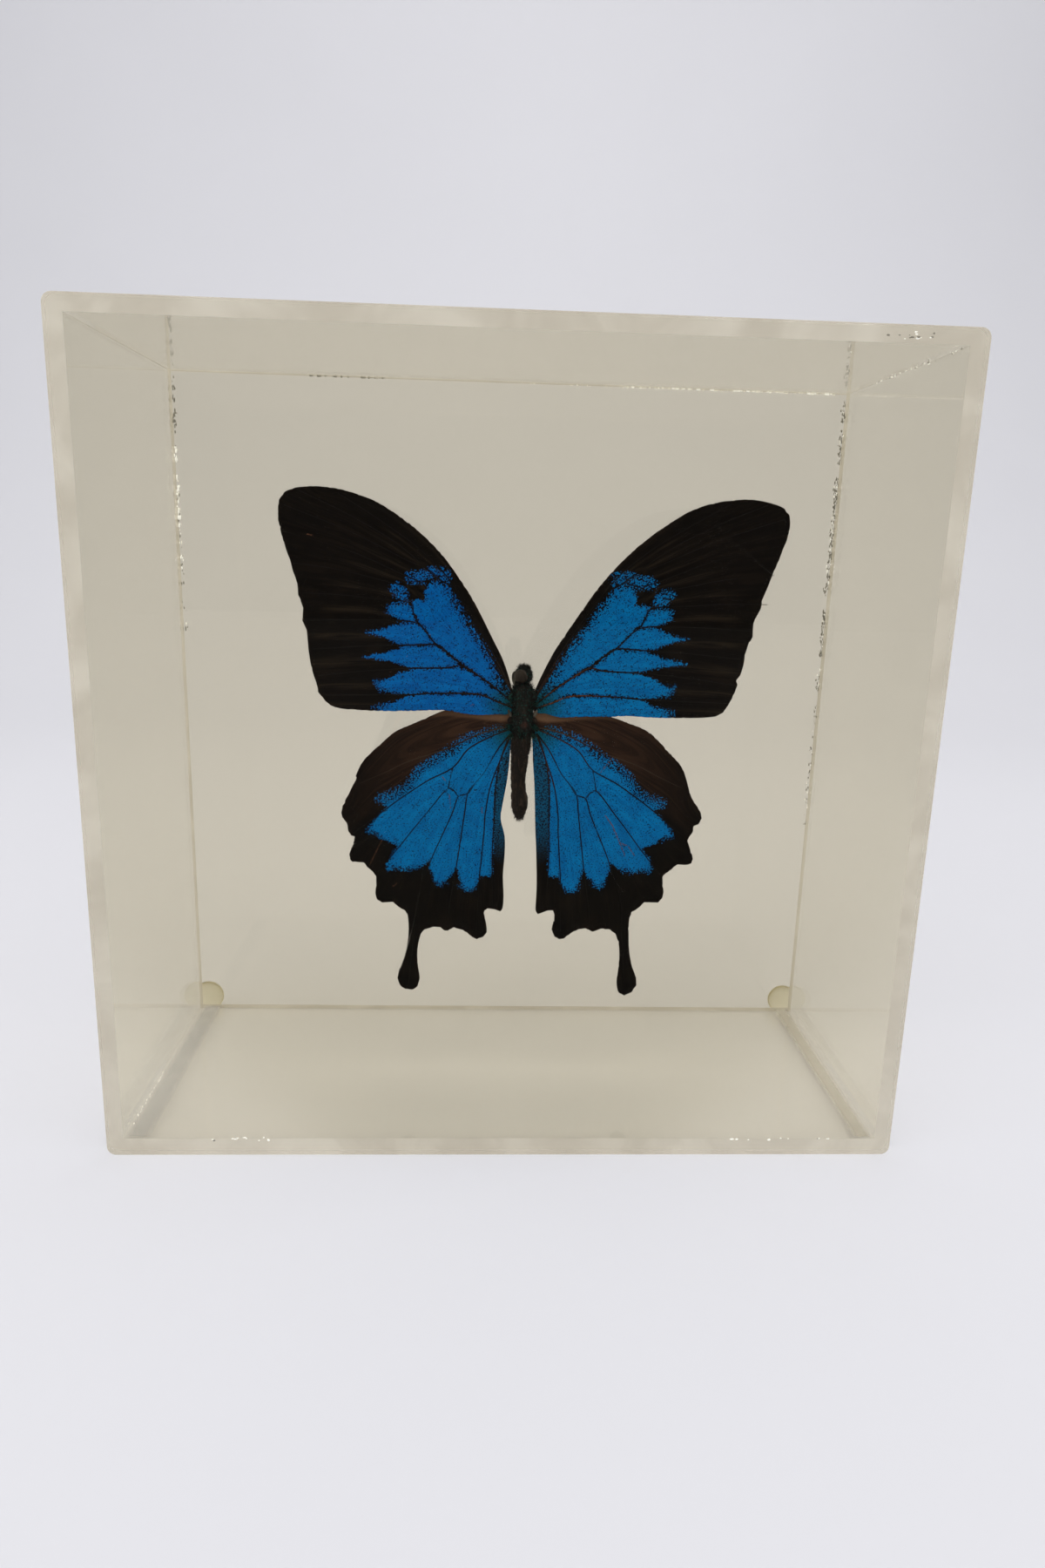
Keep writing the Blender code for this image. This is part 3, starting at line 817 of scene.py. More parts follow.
# %% Blue areas of the wings
FORE_BLUE = [
    [(0.6, 101.6), (-1.4, 102.6), (-3, 105), (-4.8, 109), (-6.3, 111.5), (-7.8, 114), (-9.6, 116.5),
     (-11.3, 118.5), (-12.3, 121), (-13.5, 123), (-15, 125), (-16, 126.5), (-17.3, 127.5),
     (-18.5, 127.3), (-19.7, 126.8), (-20.8, 125.3), (-20.8, 124.3), (-20.5, 123.4), (-21.5, 123.2),
     (-22.6, 123.4), (-23.8, 122.8), (-23.8, 121.8), (-23, 120), (-22, 118.5), (-20, 115.8),
     (-18, 113.5), (-15, 111.3), (-10, 107.8), (-5, 104.3), (-1, 101.4), (0.6, 100.2)],
    [(-22.7, 118.2), (-23.3, 119.8), (-24.3, 122), (-25.3, 122.4), (-27, 122.3), (-28.5, 122),
     (-29.5, 121.3), (-29.2, 120.3), (-27.5, 119.3), (-26, 118.6), (-24.5, 118.3)],
    [(-18.5, 113), (-19, 114), (-21, 116.5), (-22.4, 117.8), (-24.5, 118), (-27, 117.8), (-29, 117),
     (-31, 116.3), (-34.4, 115.7), (-33, 115.4), (-31, 114.8), (-29, 114), (-27.5, 113.3), (-25.5, 112.9),
     (-22, 113), (-19, 112.9)],
    [(-12.2, 108), (-14, 109.5), (-16.5, 111.8), (-18, 112.6), (-22, 112.6), (-25, 112.7), (-26.5, 112),
     (-29, 111.2), (-31, 110.6), (-35.5, 109.8), (-33, 109.5), (-31, 109.2), (-29, 109), (-27, 108.4),
     (-25, 107.8), (-22, 107.5), (-18, 107.7), (-14, 108)],
    [(0.4, 99.4), (-1, 100.8), (-5, 103.5), (-8, 105.5), (-11.5, 107.7), (-18, 107.4), (-22, 107.2),
     (-25, 106.7), (-27, 106), (-29, 105), (-31, 104.2), (-32.4, 104), (-32, 103.2), (-31.3, 102.3),
     (-30, 101.8), (-28, 101.5), (-25, 101.3), (-20, 101.6), (-10, 101.9), (-6, 101.3), (-3.5, 100.2),
     (-1, 99.2), (0.4, 98.6)],
    [(0.6, 98), (-0.8, 98.6), (-3, 99.4), (-6, 100.8), (-10, 101.3), (-20, 101.1), (-25, 100.7),
     (-26, 100), (-28, 99.2), (-30, 98.6), (-31.7, 98), (-32, 97.5), (-31, 96), (-25, 94), (-10, 93),
     (0, 94), (0.8, 96.5)],
]
FORE_FLECKS = [
    [(-23.5, 127.8), (-24.5, 128.8), (-23, 129.3), (-20.5, 129.6), (-18.8, 129.2), (-20, 128.3),
     (-22, 127.5)],
    [(-19.5, 130), (-19.8, 131), (-18.6, 131), (-18, 130), (-18.3, 129.3)],
    [(-17.8, 129), (-17.7, 130.5), (-17, 130.8), (-16, 129.5), (-15.8, 128.2), (-16.8, 128.5)],
    [(-28.3, 126.5), (-26.8, 126.8), (-25.5, 126), (-25.2, 124.5), (-25.1, 123.2), (-26.5, 123.3),
     (-27.5, 124.8), (-28, 125.8)],
]
HIND_BLUE = [
    [(0.4, 92.6), (-3, 92.2), (-7.2, 91.1), (-11.4, 89.6), (-13.5, 86.8), (-16.7, 85.8), (-19.8, 84),
     (-21.9, 82.2), (-23.5, 80.1), (-24.8, 77.9), (-27.2, 75.8), (-31.4, 74.7), (-30.6, 73.7), (-29.8, 72.8),
     (-31.4, 71.1), (-33, 69.3), (-34.3, 67.4), (-34.6, 66.1), (-32.7, 66.4), (-31.2, 64.8), (-29.3, 64),
     (-27.2, 62.9), (-28.3, 61.6), (-29.2, 59.8), (-29.7, 57.9), (-29.4, 56.7), (-27.7, 57.4), (-25.6, 56.9),
     (-23.3, 57.2), (-21.2, 57.9), (-19.3, 59.3), (-19.3, 57.4), (-18.5, 55.3), (-18, 53.5), (-16.8, 52.6),
     (-15.4, 54), (-13.5, 55.6), (-12.8, 57.4), (-11.9, 55.3), (-11.2, 53.2), (-10.1, 51.6), (-8.8, 51.4),
     (-7.2, 53.2), (-6.7, 55.3), (-5.9, 55.3), (-4.05, 55.6), (-3.7, 56.9), (-3.6, 67.4), (-3.4, 78),
     (-2.2, 84.8), (0.4, 90)],
]
# The hindwing's inner margin, where the blue is dim, and the browner part before its blue fan
INNER_STRIP = [(0.4, 91), (-1.5, 87.5), (-2.5, 84), (-3.3, 78), (-3.5, 69.5), (-3.6, 60), (2, 60), (2, 88)]
BROWN_EDGE = [(0, 92.6), (-11, 89), (-20, 83.5), (-27, 76.5), (-34, 70), (-42, 64)]
# Lines beside which the blue breaks up into scales, with how far it does, in millimetres
FORE_DUST = [
    ([(-1, 102), (-3, 105), (-6.4, 111.5), (-9.8, 116.5), (-12.3, 121), (-17, 127.5)], 1.7),
    ([(-30, 97), (-33, 98)], 1.2), ([(-31, 102), (-33, 104.5)], 0.8),
    ([(-24, 128.5), (-16, 129.5)], 2.2), ([(-28, 126), (-26, 124)], 2.2),
    ([(-28.5, 122), (-30, 120.5)], 0.6),
]
HIND_DUST = [
    ([(-3, 93), (-11.4, 90), (-16.7, 86), (-21.9, 82.2), (-24.8, 77.9), (-31.4, 75)], 2.6),
    ([(-34, 67), (-32, 65.5)], 0.8), ([(-29.4, 57), (-23, 57)], 0.9), ([(-17, 53), (-9, 51.5)], 0.8),
]
# Scratches through the scales, down to the bare membrane
FORE_BARE = [
    [(-9.6, 98.6), (-9.0, 99.0)], [(-28.8, 106.4), (-28.6, 106.6)], [(-47.8, 137.7), (-46.6, 137.5)],
]
HIND_BARE = [
    [(-14.6, 76.4), (-14.3, 72.7)], [(-16.4, 80.8), (-15.6, 79.8)], [(-6.5, 73), (-6.5, 71.6)],
    [(-31.2, 64.3), (-32.5, 61.6), (-34.3, 57.9)], [(-28.6, 52.2), (-27.4, 53.2)],
]
RIGHT_HIND_BARE = [
    [(24.3, 71.6), (26.2, 69), (28, 65.1), (29.8, 61)], [(28, 64.6), (30.4, 63.7), (32.2, 61.1)],
    [(22.7, 82.7), (25.6, 86.6)],
]
print(f"{len(FORE_BLUE) + len(FORE_FLECKS)} blue shapes on a forewing")

# %% [markdown]
# A wing's mesh starts from its solid, so its outline is the same. The front faces are kept and
# melted into one, and fine parallel cuts in two directions make a regular net of small squares.
# A regular net takes relief and measured values far better than the solid's long triangles.

# %% Net of a wing
NET = 0.34 * MM
MEMBRANE = 0.16 * MM


def front_face(node):
    """The solid's front as one flat face, laid at a depth of zero."""
    bm = bmesh.new()
    bm.from_mesh(frame["nodes"][node].data)
    bmesh.ops.remove_doubles(bm, verts=bm.verts, dist=1e-6)
    bm.normal_update()
    hidden = [face for face in bm.faces if face.normal.y > -0.5]
    bmesh.ops.delete(bm, geom=hidden, context="FACES")
    for vert in bm.verts:
        vert.co.y = 0
    bmesh.ops.dissolve_faces(bm, faces=bm.faces[:])
    return bm


def cut_net(bm, spacing):
    """Cuts the face along evenly spaced lines across and up."""
    for axis in (0, 2):
        places = [vert.co[axis] for vert in bm.verts]
        normal = Vector([float(axis == k) for k in range(3)])
        for k in range(math.ceil(min(places) / spacing), math.floor(max(places) / spacing) + 1):
            every = [*bm.verts, *bm.edges, *bm.faces]
            level = normal * k * spacing
            bmesh.ops.bisect_plane(bm, geom=every, dist=1e-7, plane_co=level, plane_no=normal)
    large = [face for face in bm.faces if len(face.verts) > 4]
    bmesh.ops.triangulate(bm, faces=large)


def wing_net(node):
    bm = front_face(node)
    outline = len(bm.verts)
    cut_net(bm, NET)
    bmesh.ops.remove_doubles(bm, verts=bm.verts, dist=0.02 * MM)
    bmesh.ops.recalc_face_normals(bm, faces=bm.faces)
    if sum(face.normal.y for face in bm.faces) > 0:
        bmesh.ops.reverse_faces(bm, faces=bm.faces)
    print(f"{node}: outline of {outline} points, net of {len(bm.faces)} faces")
    return bm


# %% [markdown]
# Each point of the net then learns a few things about itself: how far inside the blue it lies,
# how far the nearest vein and the wing's edge are, and where it sits in the fan of veins. These
# values are kept as attributes, and the wing's material paints with them. So the pattern is drawn
# from named shapes and follows the wing, with no picture.

# %% Measures on a wing
# In millimetres: how wide the loose scales lie along a line, and how loose all others are
DUST_WIDTH, EVEN_DUST = 2.6, 0.24


def curve_through(points, closed=False, step=0.7):
    """A smooth line through the points, with a point about every step."""
    points = [Vector(p) for p in points]
    count = len(points)
    line = []
    for i in range(count if closed else count - 1):
        before = points[(i - 1) % count] if closed or i else points[0]
        after = points[(i + 2) % count] if closed or i < count - 2 else points[-1]
        first, last = points[i], points[(i + 1) % count]
        steps = max(1, round((last - first).length / step))
        for k in range(steps):
            t = k / steps
            line.append(
                0.5 * (2 * first + (last - before) * t + (2 * before - 5 * first + 4 * last - after) * t**2)
                + 0.5 * (3 * first - before - 3 * last + after) * t**3
            )
    line.append(points[0] if closed else points[-1])
    return np.array([tuple(p) for p in line])


def distance_to(places, line):
    """From each place to the nearest bit of a line."""
    nearest = np.full(len(places), 1e9)
    for first, last in zip(line, line[1:]):
        run = last - first
        share = np.clip(((places - first) @ run) / max(run @ run, 1e-12), 0, 1)
        nearest = np.minimum(nearest, np.hypot(*(places - first - share[:, None] * run).T))
    return nearest


def depth_inside(places, ring):
    """How far inside a closed line each place lies; below zero outside it."""
    inside = np.zeros(len(places), bool)
    for (x0, z0), (x1, z1) in zip(ring, ring[1:]):
        crosses = (z0 > places[:, 1]) != (z1 > places[:, 1])
        at = x0 + (places[:, 1] - z0) * (x1 - x0) / (z1 - z0 if z1 != z0 else 1e-12)
        inside ^= crosses & (places[:, 0] < at)
    return np.where(inside, 1, -1) * distance_to(places, ring)


def fan_order(places, veins):
    """A number that rises from the rear edge of the wing to its front edge, even along each vein."""
    total, weight = np.zeros(len(places)), np.zeros(len(places))
    for order, line in veins:
        near = 1 / (distance_to(places, curve_through(line, step=2.5)) ** 2 + 0.15)
        total += order * near
        weight += near
    return total / weight


def right_stretch(height, is_fore):
    """How much farther out a place on the right wing lies than the left one's, by its height."""
    stretch = np.interp(height, [99, 113, 118, 124, 145], [1.005, 1.0, 1.035, 1.068, 1.055])
    return stretch if is_fore else np.ones_like(stretch)


def as_left(places, is_right, is_fore):
    """The same place on the left wing, for the right one's mirrored pattern."""
    if not is_right:
        return places.copy()
    across = BODY_LINE - (places[:, 0] - BODY_LINE) / right_stretch(places[:, 1], is_fore)
    return np.column_stack((across, places[:, 1]))


def shifted(places, seed, size, amount):
    """Places moved about a little, so that drawn edges aren't too even."""
    moves = [
        [noise.noise(Vector((x / size, z / size, seed + k * 7.3))) * amount for k in (0, 1)]
        for x, z in places
    ]
    return places + np.array(moves)


def nearest_distance(places, targets):
    """From each place to the nearest of the target points."""
    tree = kdtree.KDTree(len(targets))
    for k, (x, z) in enumerate(targets):
        tree.insert((x, 0, z), k)
    tree.balance()
    return np.array([tree.find((x, 0, z))[2] for x, z in places])


def bare_scratches(places, left, is_right, is_fore):
    """How far the nearest scratch through the scales is."""
    nearest = np.full(len(places), 9.0)
    if is_right:
        lines, where = ([] if is_fore else RIGHT_HIND_BARE), places
    else:
        lines, where = (FORE_BARE if is_fore else HIND_BARE), left
    for line in lines:
        nearest = np.minimum(nearest, distance_to(where, np.array(line, float)))
    return nearest


def front_margin(left):
    """The browner part of a hindwing, and the tan band on it just behind the forewing."""
    edge = np.array(BROWN_EDGE)
    above_fan = left[:, 1] - np.interp(-left[:, 0], -edge[:, 0], edge[:, 1])
    brown = np.clip(above_fan / 2.5, 0, 1) * np.clip(1.25 + left[:, 0] / 34, 0, 1)
    low = np.interp(-left[:, 0], [0, 2, 6, 10, 15, 20, 26], [95.2, 94.9, 95.1, 95.6, 95.9, 95.6, 93.5])
    tan = np.clip((left[:, 1] - low + 0.35) / 0.7, 0, 1) * np.clip(1.12 + left[:, 0] / 23, 0, 1)
    return brown, tan


def measures(places, node, rim_points):
    is_right, is_fore = node.endswith("right"), node.startswith("fore")
    left = as_left(places, is_right, is_fore)
    wavy = shifted(left, 3.0 if is_right else 9.0, 1.6, 0.28)
    shapes = FORE_BLUE + FORE_FLECKS if is_fore else HIND_BLUE
    blue = np.max([depth_inside(wavy, curve_through(shape, True)) for shape in shapes], axis=0)
    dust = np.full(len(places), EVEN_DUST)
    for line, amount in FORE_DUST if is_fore else HIND_DUST:
        near = np.clip(1 - distance_to(left, np.array(line, float)) / DUST_WIDTH, 0, 1)
        dust = np.maximum(dust, amount * near)
    veins = FORE_VEINS if is_fore else HIND_VEINS
    vein = np.min([distance_to(left, curve_through(line)) for _, line in veins], axis=0)
    reach = np.hypot(*(left - np.array(ROOT_FORE if is_fore else ROOT_HIND)).T)
    brown, tan, strip = np.zeros(len(places)), np.zeros(len(places)), np.full(len(places), -8.0)
    if not is_fore:
        brown, tan = front_margin(left)
        strip = depth_inside(left, curve_through(INNER_STRIP, True))
    return {
        "blue": np.clip(blue, -8, 8), "dust": dust, "vein": np.minimum(vein, 6),
        "across": fan_order(left, veins + (FORE_EDGES if is_fore else HIND_EDGES)), "reach": reach,
        "bare": bare_scratches(places, left, is_right, is_fore), "brown": brown, "tan": tan,
        "strip": np.maximum(strip, -8), "rim": np.minimum(nearest_distance(places, rim_points), 9),
        "hind": np.full(len(places), float(not is_fore)),
        # The left forewing is painted more cobalt and the others more teal: a painted hue shift for each
        # wing's angle to the light.
        "teal": np.full(len(places), 0.25 if is_fore and not is_right else 0.85),
    }


# %% [markdown]
# The membrane isn't flat: it dips and rises between the veins like a fan, and its outer edge is
# worn and slightly ragged. The net is moved by small amounts for both, then given its thickness.
# The veins are fine tubes that taper from the body outwards, half sunk in the membrane. Each one
# is a small disc, pushed along its line step by step.

# %% Relief and veins
PLEAT = 0.07 * MM
SWELL = 0.12 * MM
RAGGED = 0.3 * MM
VEIN_AT_BODY, VEIN_AT_EDGE = 0.20 * MM, 0.08 * MM
# How far a wing's tip is bent, as its solid is
BEND = 0.3 * MM
# In millimetres: the wings' lengths, where the hindwings' bend starts, how far the veins taper and
# how far short of the edge they stop
FORE_LENGTH, HIND_LENGTH, BEND_START = 61, 72, 95
VEIN_TAPER, VEIN_SHORT = 55, 0.35


def depth_at(place, node, plane):
    """The depth of the wing's middle plane at a place in millimetres, bent as the solid is."""
    if node.startswith("fore"):
        return plane - BEND * (abs(place[0] - BODY_MIDDLE) / FORE_LENGTH) ** 2
    return plane + BEND * (max(0, BEND_START - place[1]) / HIND_LENGTH) ** 2


def push_tube(bm, points, radii, sides, material_index):
    """A disc pushed along the points, turned and scaled at each."""
    frames = []
    for i, point in enumerate(points):
        ahead = points[min(i + 1, len(points) - 1)] - points[max(i - 1, 0)]
        sideways = ahead.cross(Vector((0, 1, 0))).normalized()
        up = sideways.cross(ahead).normalized()
        frame_matrix = Matrix((sideways, up, ahead.normalized())).transposed().to_4x4()
        frame_matrix.translation = point
        frames.append(frame_matrix @ Matrix.Diagonal((radii[i], radii[i], radii[i], 1)))
    made = bmesh.ops.create_circle(bm, cap_ends=True, segments=sides, radius=1, matrix=frames[0])
    face = made["verts"][0].link_faces[0]
    face.material_index = material_index
    for before, after in zip(frames, frames[1:]):
        grown = bmesh.ops.extrude_face_region(bm, geom=[face])["geom"]
        verts = [item for item in grown if isinstance(item, bmesh.types.BMVert)]
        cap = [item for item in grown if isinstance(item, bmesh.types.BMFace)]
        if before is not frames[0]:
            bmesh.ops.delete(bm, geom=[face], context="FACES_ONLY")
        face = cap[0]
        bmesh.ops.transform(bm, matrix=after @ before.inverted(), verts=verts)


def wing_plane(node):
    """The depth of a wing's middle plane beside the body."""
    low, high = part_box(node)
    return high.y - 0.2 * MM if node.startswith("fore") else low.y + 0.2 * MM


def mirrored(point, node):
    """A left wing's place in millimetres, moved to this wing."""
    if not node.endswith("right"):
        return point
    stretch = right_stretch(point[1], node.startswith("fore"))
    return (BODY_LINE + (BODY_LINE - point[0]) * stretch, point[1])


def add_veins(rim_points, node, plane):
    """The vein tubes as a mesh of their own. A vein stops just short of the wing's edge."""
    veins = FORE_VEINS if node.startswith("fore") else HIND_VEINS
    tubes = bmesh.new()
    for _, line in veins:
        path = [mirrored(p, node) for p in curve_through(line, step=1.6)]
        room = nearest_distance(path, rim_points)
        kept = [p for i, p in enumerate(path) if room[i] > VEIN_SHORT or i < len(path) * 0.5]
        share = [min(1, math.dist(p, mirrored(ROOT_FORE, node)) / VEIN_TAPER) for p in kept]
        radii = [VEIN_AT_BODY + (VEIN_AT_EDGE - VEIN_AT_BODY) * s for s in share]
        points = [Vector((p[0] * MM, depth_at(p, node, plane), p[1] * MM)) for p in kept]
        push_tube(tubes, points, radii, 6, 1)
    bmesh.ops.recalc_face_normals(tubes, faces=tubes.faces)
    return as_mesh("veins", tubes)


def wear_rim(bm):
    """Frays the wing's outer edge a little, inwards only."""
    for vert in [v for v in bm.verts if v.is_boundary]:
        x, z = vert.co.x / MM, vert.co.z / MM
        if abs(x - BODY_MIDDLE) > 8:
            rough = noise.noise(Vector((x * 1.1, z * 1.1, 4.0)))
            rough += 0.6 * noise.noise(Vector((x * 3, z * 3, 1.0)))
            inward = sum((e.other_vert(vert).co - vert.co for e in vert.link_edges), Vector())
            vert.co += inward.normalized() * max(0, rough) * RAGGED


def flat_places(verts):
    return np.array([(v.co.x / MM, v.co.z / MM) for v in verts])


def add_wing(node, materials):
    plane = wing_plane(node)
    bm = wing_net(node)
    rim_points = flat_places([v for v in bm.verts if v.is_boundary])
    vein_mesh = add_veins(rim_points, node, plane)
    wear_rim(bm)
    places = flat_places(bm.verts)
    found = measures(places, node, rim_points)
    net_point = bm.verts.layers.int.new("net_point")
    for k, (vert, (x, z)) in enumerate(zip(bm.verts, places)):
        pleat = PLEAT * math.cos(math.tau * found["across"][k]) * min(1, found["reach"][k] / 12)
        swell = SWELL * noise.noise(Vector((x / 14, z / 14, 2.0)))
        vert.co.y = depth_at((x, z), node, plane) - MEMBRANE / 2 + pleat + swell
        vert[net_point] = k
    bmesh.ops.solidify(bm, geom=bm.faces[:], thickness=MEMBRANE)
    net_size = len(bm.verts)
    bm.from_mesh(vein_mesh)
    bpy.data.meshes.remove(vein_mesh)
    mesh = finish_piece(node + "_scales", bm, materials, "wing", node).data
    index = np.zeros(len(mesh.vertices), np.int32)
    mesh.attributes["net_point"].data.foreach_get("value", index)
    mesh.attributes.remove(mesh.attributes["net_point"])
    on_veins = measures(flat_places(mesh.vertices[net_size:]), node, rim_points)
    found = {name: np.append(values[index[:net_size]], on_veins[name]) for name, values in found.items()}
    normals = np.array([v.normal.y for v in mesh.vertices])
    found["front"] = (normals < 0).astype(float)
    for name, values in found.items():
        layer = mesh.attributes.new(name, "FLOAT", "POINT")
        layer.data.foreach_set("value", values.astype(np.float32))
    for polygon in mesh.polygons:
        polygon.use_smooth = True


# %% [markdown]
# The wing's finish. The blue is made by the scales' fine structure and not by a dye, so it has a
# metallic depth and shifts a little from cobalt to teal toward the body. The left forewing is painted
# more cobalt and the other wings more teal, a painted shift of hue that stands in for each wing's
# angle to the light. The black is brown-black velvet with streaks that run with the veins, and out
# on the forewings a painted satin sheen makes it lighter midway between the veins. Single scales are
# missing here and there.
# Behind, the wing is brown, with a row of small blue and orange crescents along the hindwing.

# %% Finish of the wings
def speck_group():
    """Small sparse specks: dust, lost scales or pale hairs, by their scale and share."""
    group, given, mask = new_group("Specks", ("Scale", "Threshold"), "Mask")
    grain = cloud(object_place(group), given["Scale"], 2.5, Roughness=0.65)
    group.links.new(ease(minus(grain, given["Threshold"]), 0.0, 0.045), mask)
    return group


SPECKS = speck_group()


def specks(tree, scale, threshold):
    inputs = {"Scale": scale, "Threshold": threshold}
    return add_node(tree, "ShaderNodeGroup", inputs, node_tree=SPECKS).outputs["Mask"]


BLUE_DEEP, BLUE_BRIGHT = (0.0, 0.085, 0.38, 1), (0.0, 0.14, 0.52, 1)
TEAL_DEEP, TEAL_BRIGHT = (0.0, 0.13, 0.38, 1), (0.0, 0.205, 0.53, 1)
BLUE_ROOT, BLUE_DIM = (0.002, 0.07, 0.10, 1), (0.003, 0.075, 0.17, 1)
DARK_DEEP, DARK_STREAK = (0.003, 0.002, 0.0012, 1), (0.007, 0.0045, 0.0026, 1)
DARK_PAINTED_SHEEN, TAN = (0.016, 0.011, 0.0065, 1), (0.150, 0.083, 0.047, 1)
HIND_BROWN, HIND_DARK_BROWN = (0.043, 0.0205, 0.0115, 1), (0.019, 0.0088, 0.005, 1)
BARE, PALE_DUST, WORN = (0.10, 0.046, 0.025, 1), (0.25, 0.23, 0.19, 1), (0.03, 0.02, 0.013, 1)
BACK_BROWN, BACK_PALE = (0.030, 0.019, 0.011, 1), (0.085, 0.062, 0.040, 1)
BACK_BLUE, BACK_ORANGE, BACK_TAN = (0.01, 0.09, 0.26, 1), (0.42, 0.14, 0.03, 1), (0.17, 0.13, 0.09, 1)


def between_veins(across, half):
    """1 midway between two veins, falling to 0 within a share of the gap."""
    middle = maths("ABSOLUTE", minus(maths("FRACT", across), 0.5))
    return ease(middle, half, 0.0)


def fan_noise(value, per_gap, per_millimetre, detail):
    """Noise in the fan's own coordinates, so that it runs out from the body with the veins."""
    parts = {0: times(value["across"], per_gap), 1: times(value["reach"], per_millimetre)}
    fan = add_node(value["across"].id_data, "ShaderNodeCombineXYZ", parts).outputs[0]
    return cloud(fan, 1.0, detail)


def blue_parts(tree, value, grain, patch, streak, vein_line):
    """Where the front is blue, and which blue."""
    spread = times(value["dust"], 12.0)
    loose = times(minus(grain, 0.5), spread)
    mask = ease(plus(value["blue"], loose), -0.07, 0.07)
    mask = less(mask, specks(tree, 2700.0, 0.57), 0.8)
    mask = less(mask, vein_line, 0.85)
    depth = plus(times(streak, 0.6), times(patch, 0.4))
    depth = ease(depth, 0.35, 0.68)
    cobalt = tint(depth, BLUE_DEEP, BLUE_BRIGHT)
    teal = tint(depth, TEAL_DEEP, TEAL_BRIGHT)
    # Painted light: the cobalt-to-teal mix by wing stands in for how a structural blue's hue shifts with its
    # angle to the light.
    blue = tint(value["teal"], cobalt, teal)
    near_root = plus(value["reach"], times(grain, 6.0))
    return mask, tint(ease(near_root, 12.5, 4.0), blue, BLUE_ROOT)


def dark_parts(value, grain, streak):
    """The black and brown of the front."""
    dark = tint(ease(streak, 0.46, 0.68), DARK_DEEP, DARK_STREAK)
    # Lighter lenses midway between the veins, out on the forewings: a painted satin sheen.
    lens = times(between_veins(value["across"], 0.42), in_ring(value["reach"], 33, 50, 4))
    lens = times(less(lens, value["hind"], 1.0), ease(streak, 0.35, 0.6))
    dark = tint(lens, dark, DARK_PAINTED_SHEEN)
    brown = tint(ease(streak, 0.35, 0.65), HIND_DARK_BROWN, HIND_BROWN)
    dark = tint(value["brown"], dark, brown)
    tan = times(value["tan"], plus(0.75, times(grain, 0.4)))
    dark = tint(tan, dark, TAN)
    worn = times(ease(value["rim"], 0.55, 0.1), ease(grain, 0.45, 0.6))
    return tint(times(worn, 0.6), dark, WORN)


def back_parts(value, streak, vein_line):
    """The wing's other side: brown, paler between the veins, with crescents along the hindwing."""
    behind = tint(ease(streak, 0.38, 0.7), BACK_BROWN, BACK_PALE)
    gap = between_veins(value["across"], 0.48)
    pale = times(gap, in_ring(value["reach"], 26, 58, 8))
    pale = less(times(pale, 0.7), value["hind"], 1.0)
    behind = tint(pale, behind, BACK_TAN)
    crescent = times(ease(gap, 0.15, 0.45), value["hind"])
    crescent = less(crescent, ease(value["reach"], 24.0, 18.0), 1.0)
    orange = times(crescent, in_ring(value["rim"], 3.2, 4.2, 0.25))
    blue = times(crescent, in_ring(value["rim"], 4.8, 6.2, 0.3))
    behind = tint(orange, behind, BACK_ORANGE)
    behind = tint(blue, behind, BACK_BLUE)
    return tint(times(vein_line, 0.7), behind, DARK_DEEP)


def wing_material():
    material, tree, shader = new_material("wing scales", Specular_IOR_Level=0.05)
    names = "blue dust vein across reach bare brown tan strip rim hind teal front"
    value = attributes(tree, names.split())
    place = object_place(tree)
    grain = cloud(place, 2800.0, 2.0)
    patch = cloud(place, 420.0, 4.0)
    streak = fan_noise(value, 7.0, 0.10, 5.0)
    # The hindwing's veins are the finer ones
    vein_reach = plus(value["vein"], times(value["hind"], 0.03))
    vein_line = ease(vein_reach, 0.28, 0.11)
    blue_mask, blue = blue_parts(tree, value, grain, patch, streak, vein_line)
    dark = dark_parts(value, grain, streak)
    # The inner margin keeps a dim blue, thinner toward the tails
    strip = times(ease(value["strip"], 0.1, 0.5), ease(value["reach"], 36.0, 22.0))
    strip = times(strip, ease(grain, 0.36, 0.56))
    dark = tint(strip, dark, BLUE_DIM)
    front = tint(blue_mask, dark, blue)
    bare = ease(plus(value["bare"], times(grain, 0.5)), 0.48, 0.3)
    front = tint(times(bare, 0.8), front, BARE)
    front = tint(times(specks(tree, 900.0, 0.73), 0.22), front, PALE_DUST)
    painted = tint(value["front"], back_parts(value, streak, vein_line), front)
    tree.links.new(painted, shader.inputs["Base Color"])
    seen_blue = times(blue_mask, value["front"])
    tree.links.new(times(seen_blue, 0.25), shader.inputs["Metallic"])
    satin = plus(0.5, times(streak, 0.25))
    satin = minus(satin, times(seen_blue, 0.1))
    tree.links.new(satin, shader.inputs["Roughness"])
    set_bump(shader, fan_noise(value, 22.0, 2.4, 3.0), 0.25, 0.1 * MM)
    return material


VEIN_DARK, VEIN_BROWN = (0.004, 0.003, 0.002, 1), (0.020, 0.010, 0.007, 1)
VEIN_RUST, VEIN_PALE = (0.10, 0.035, 0.015, 1), (0.075, 0.046, 0.028, 1)


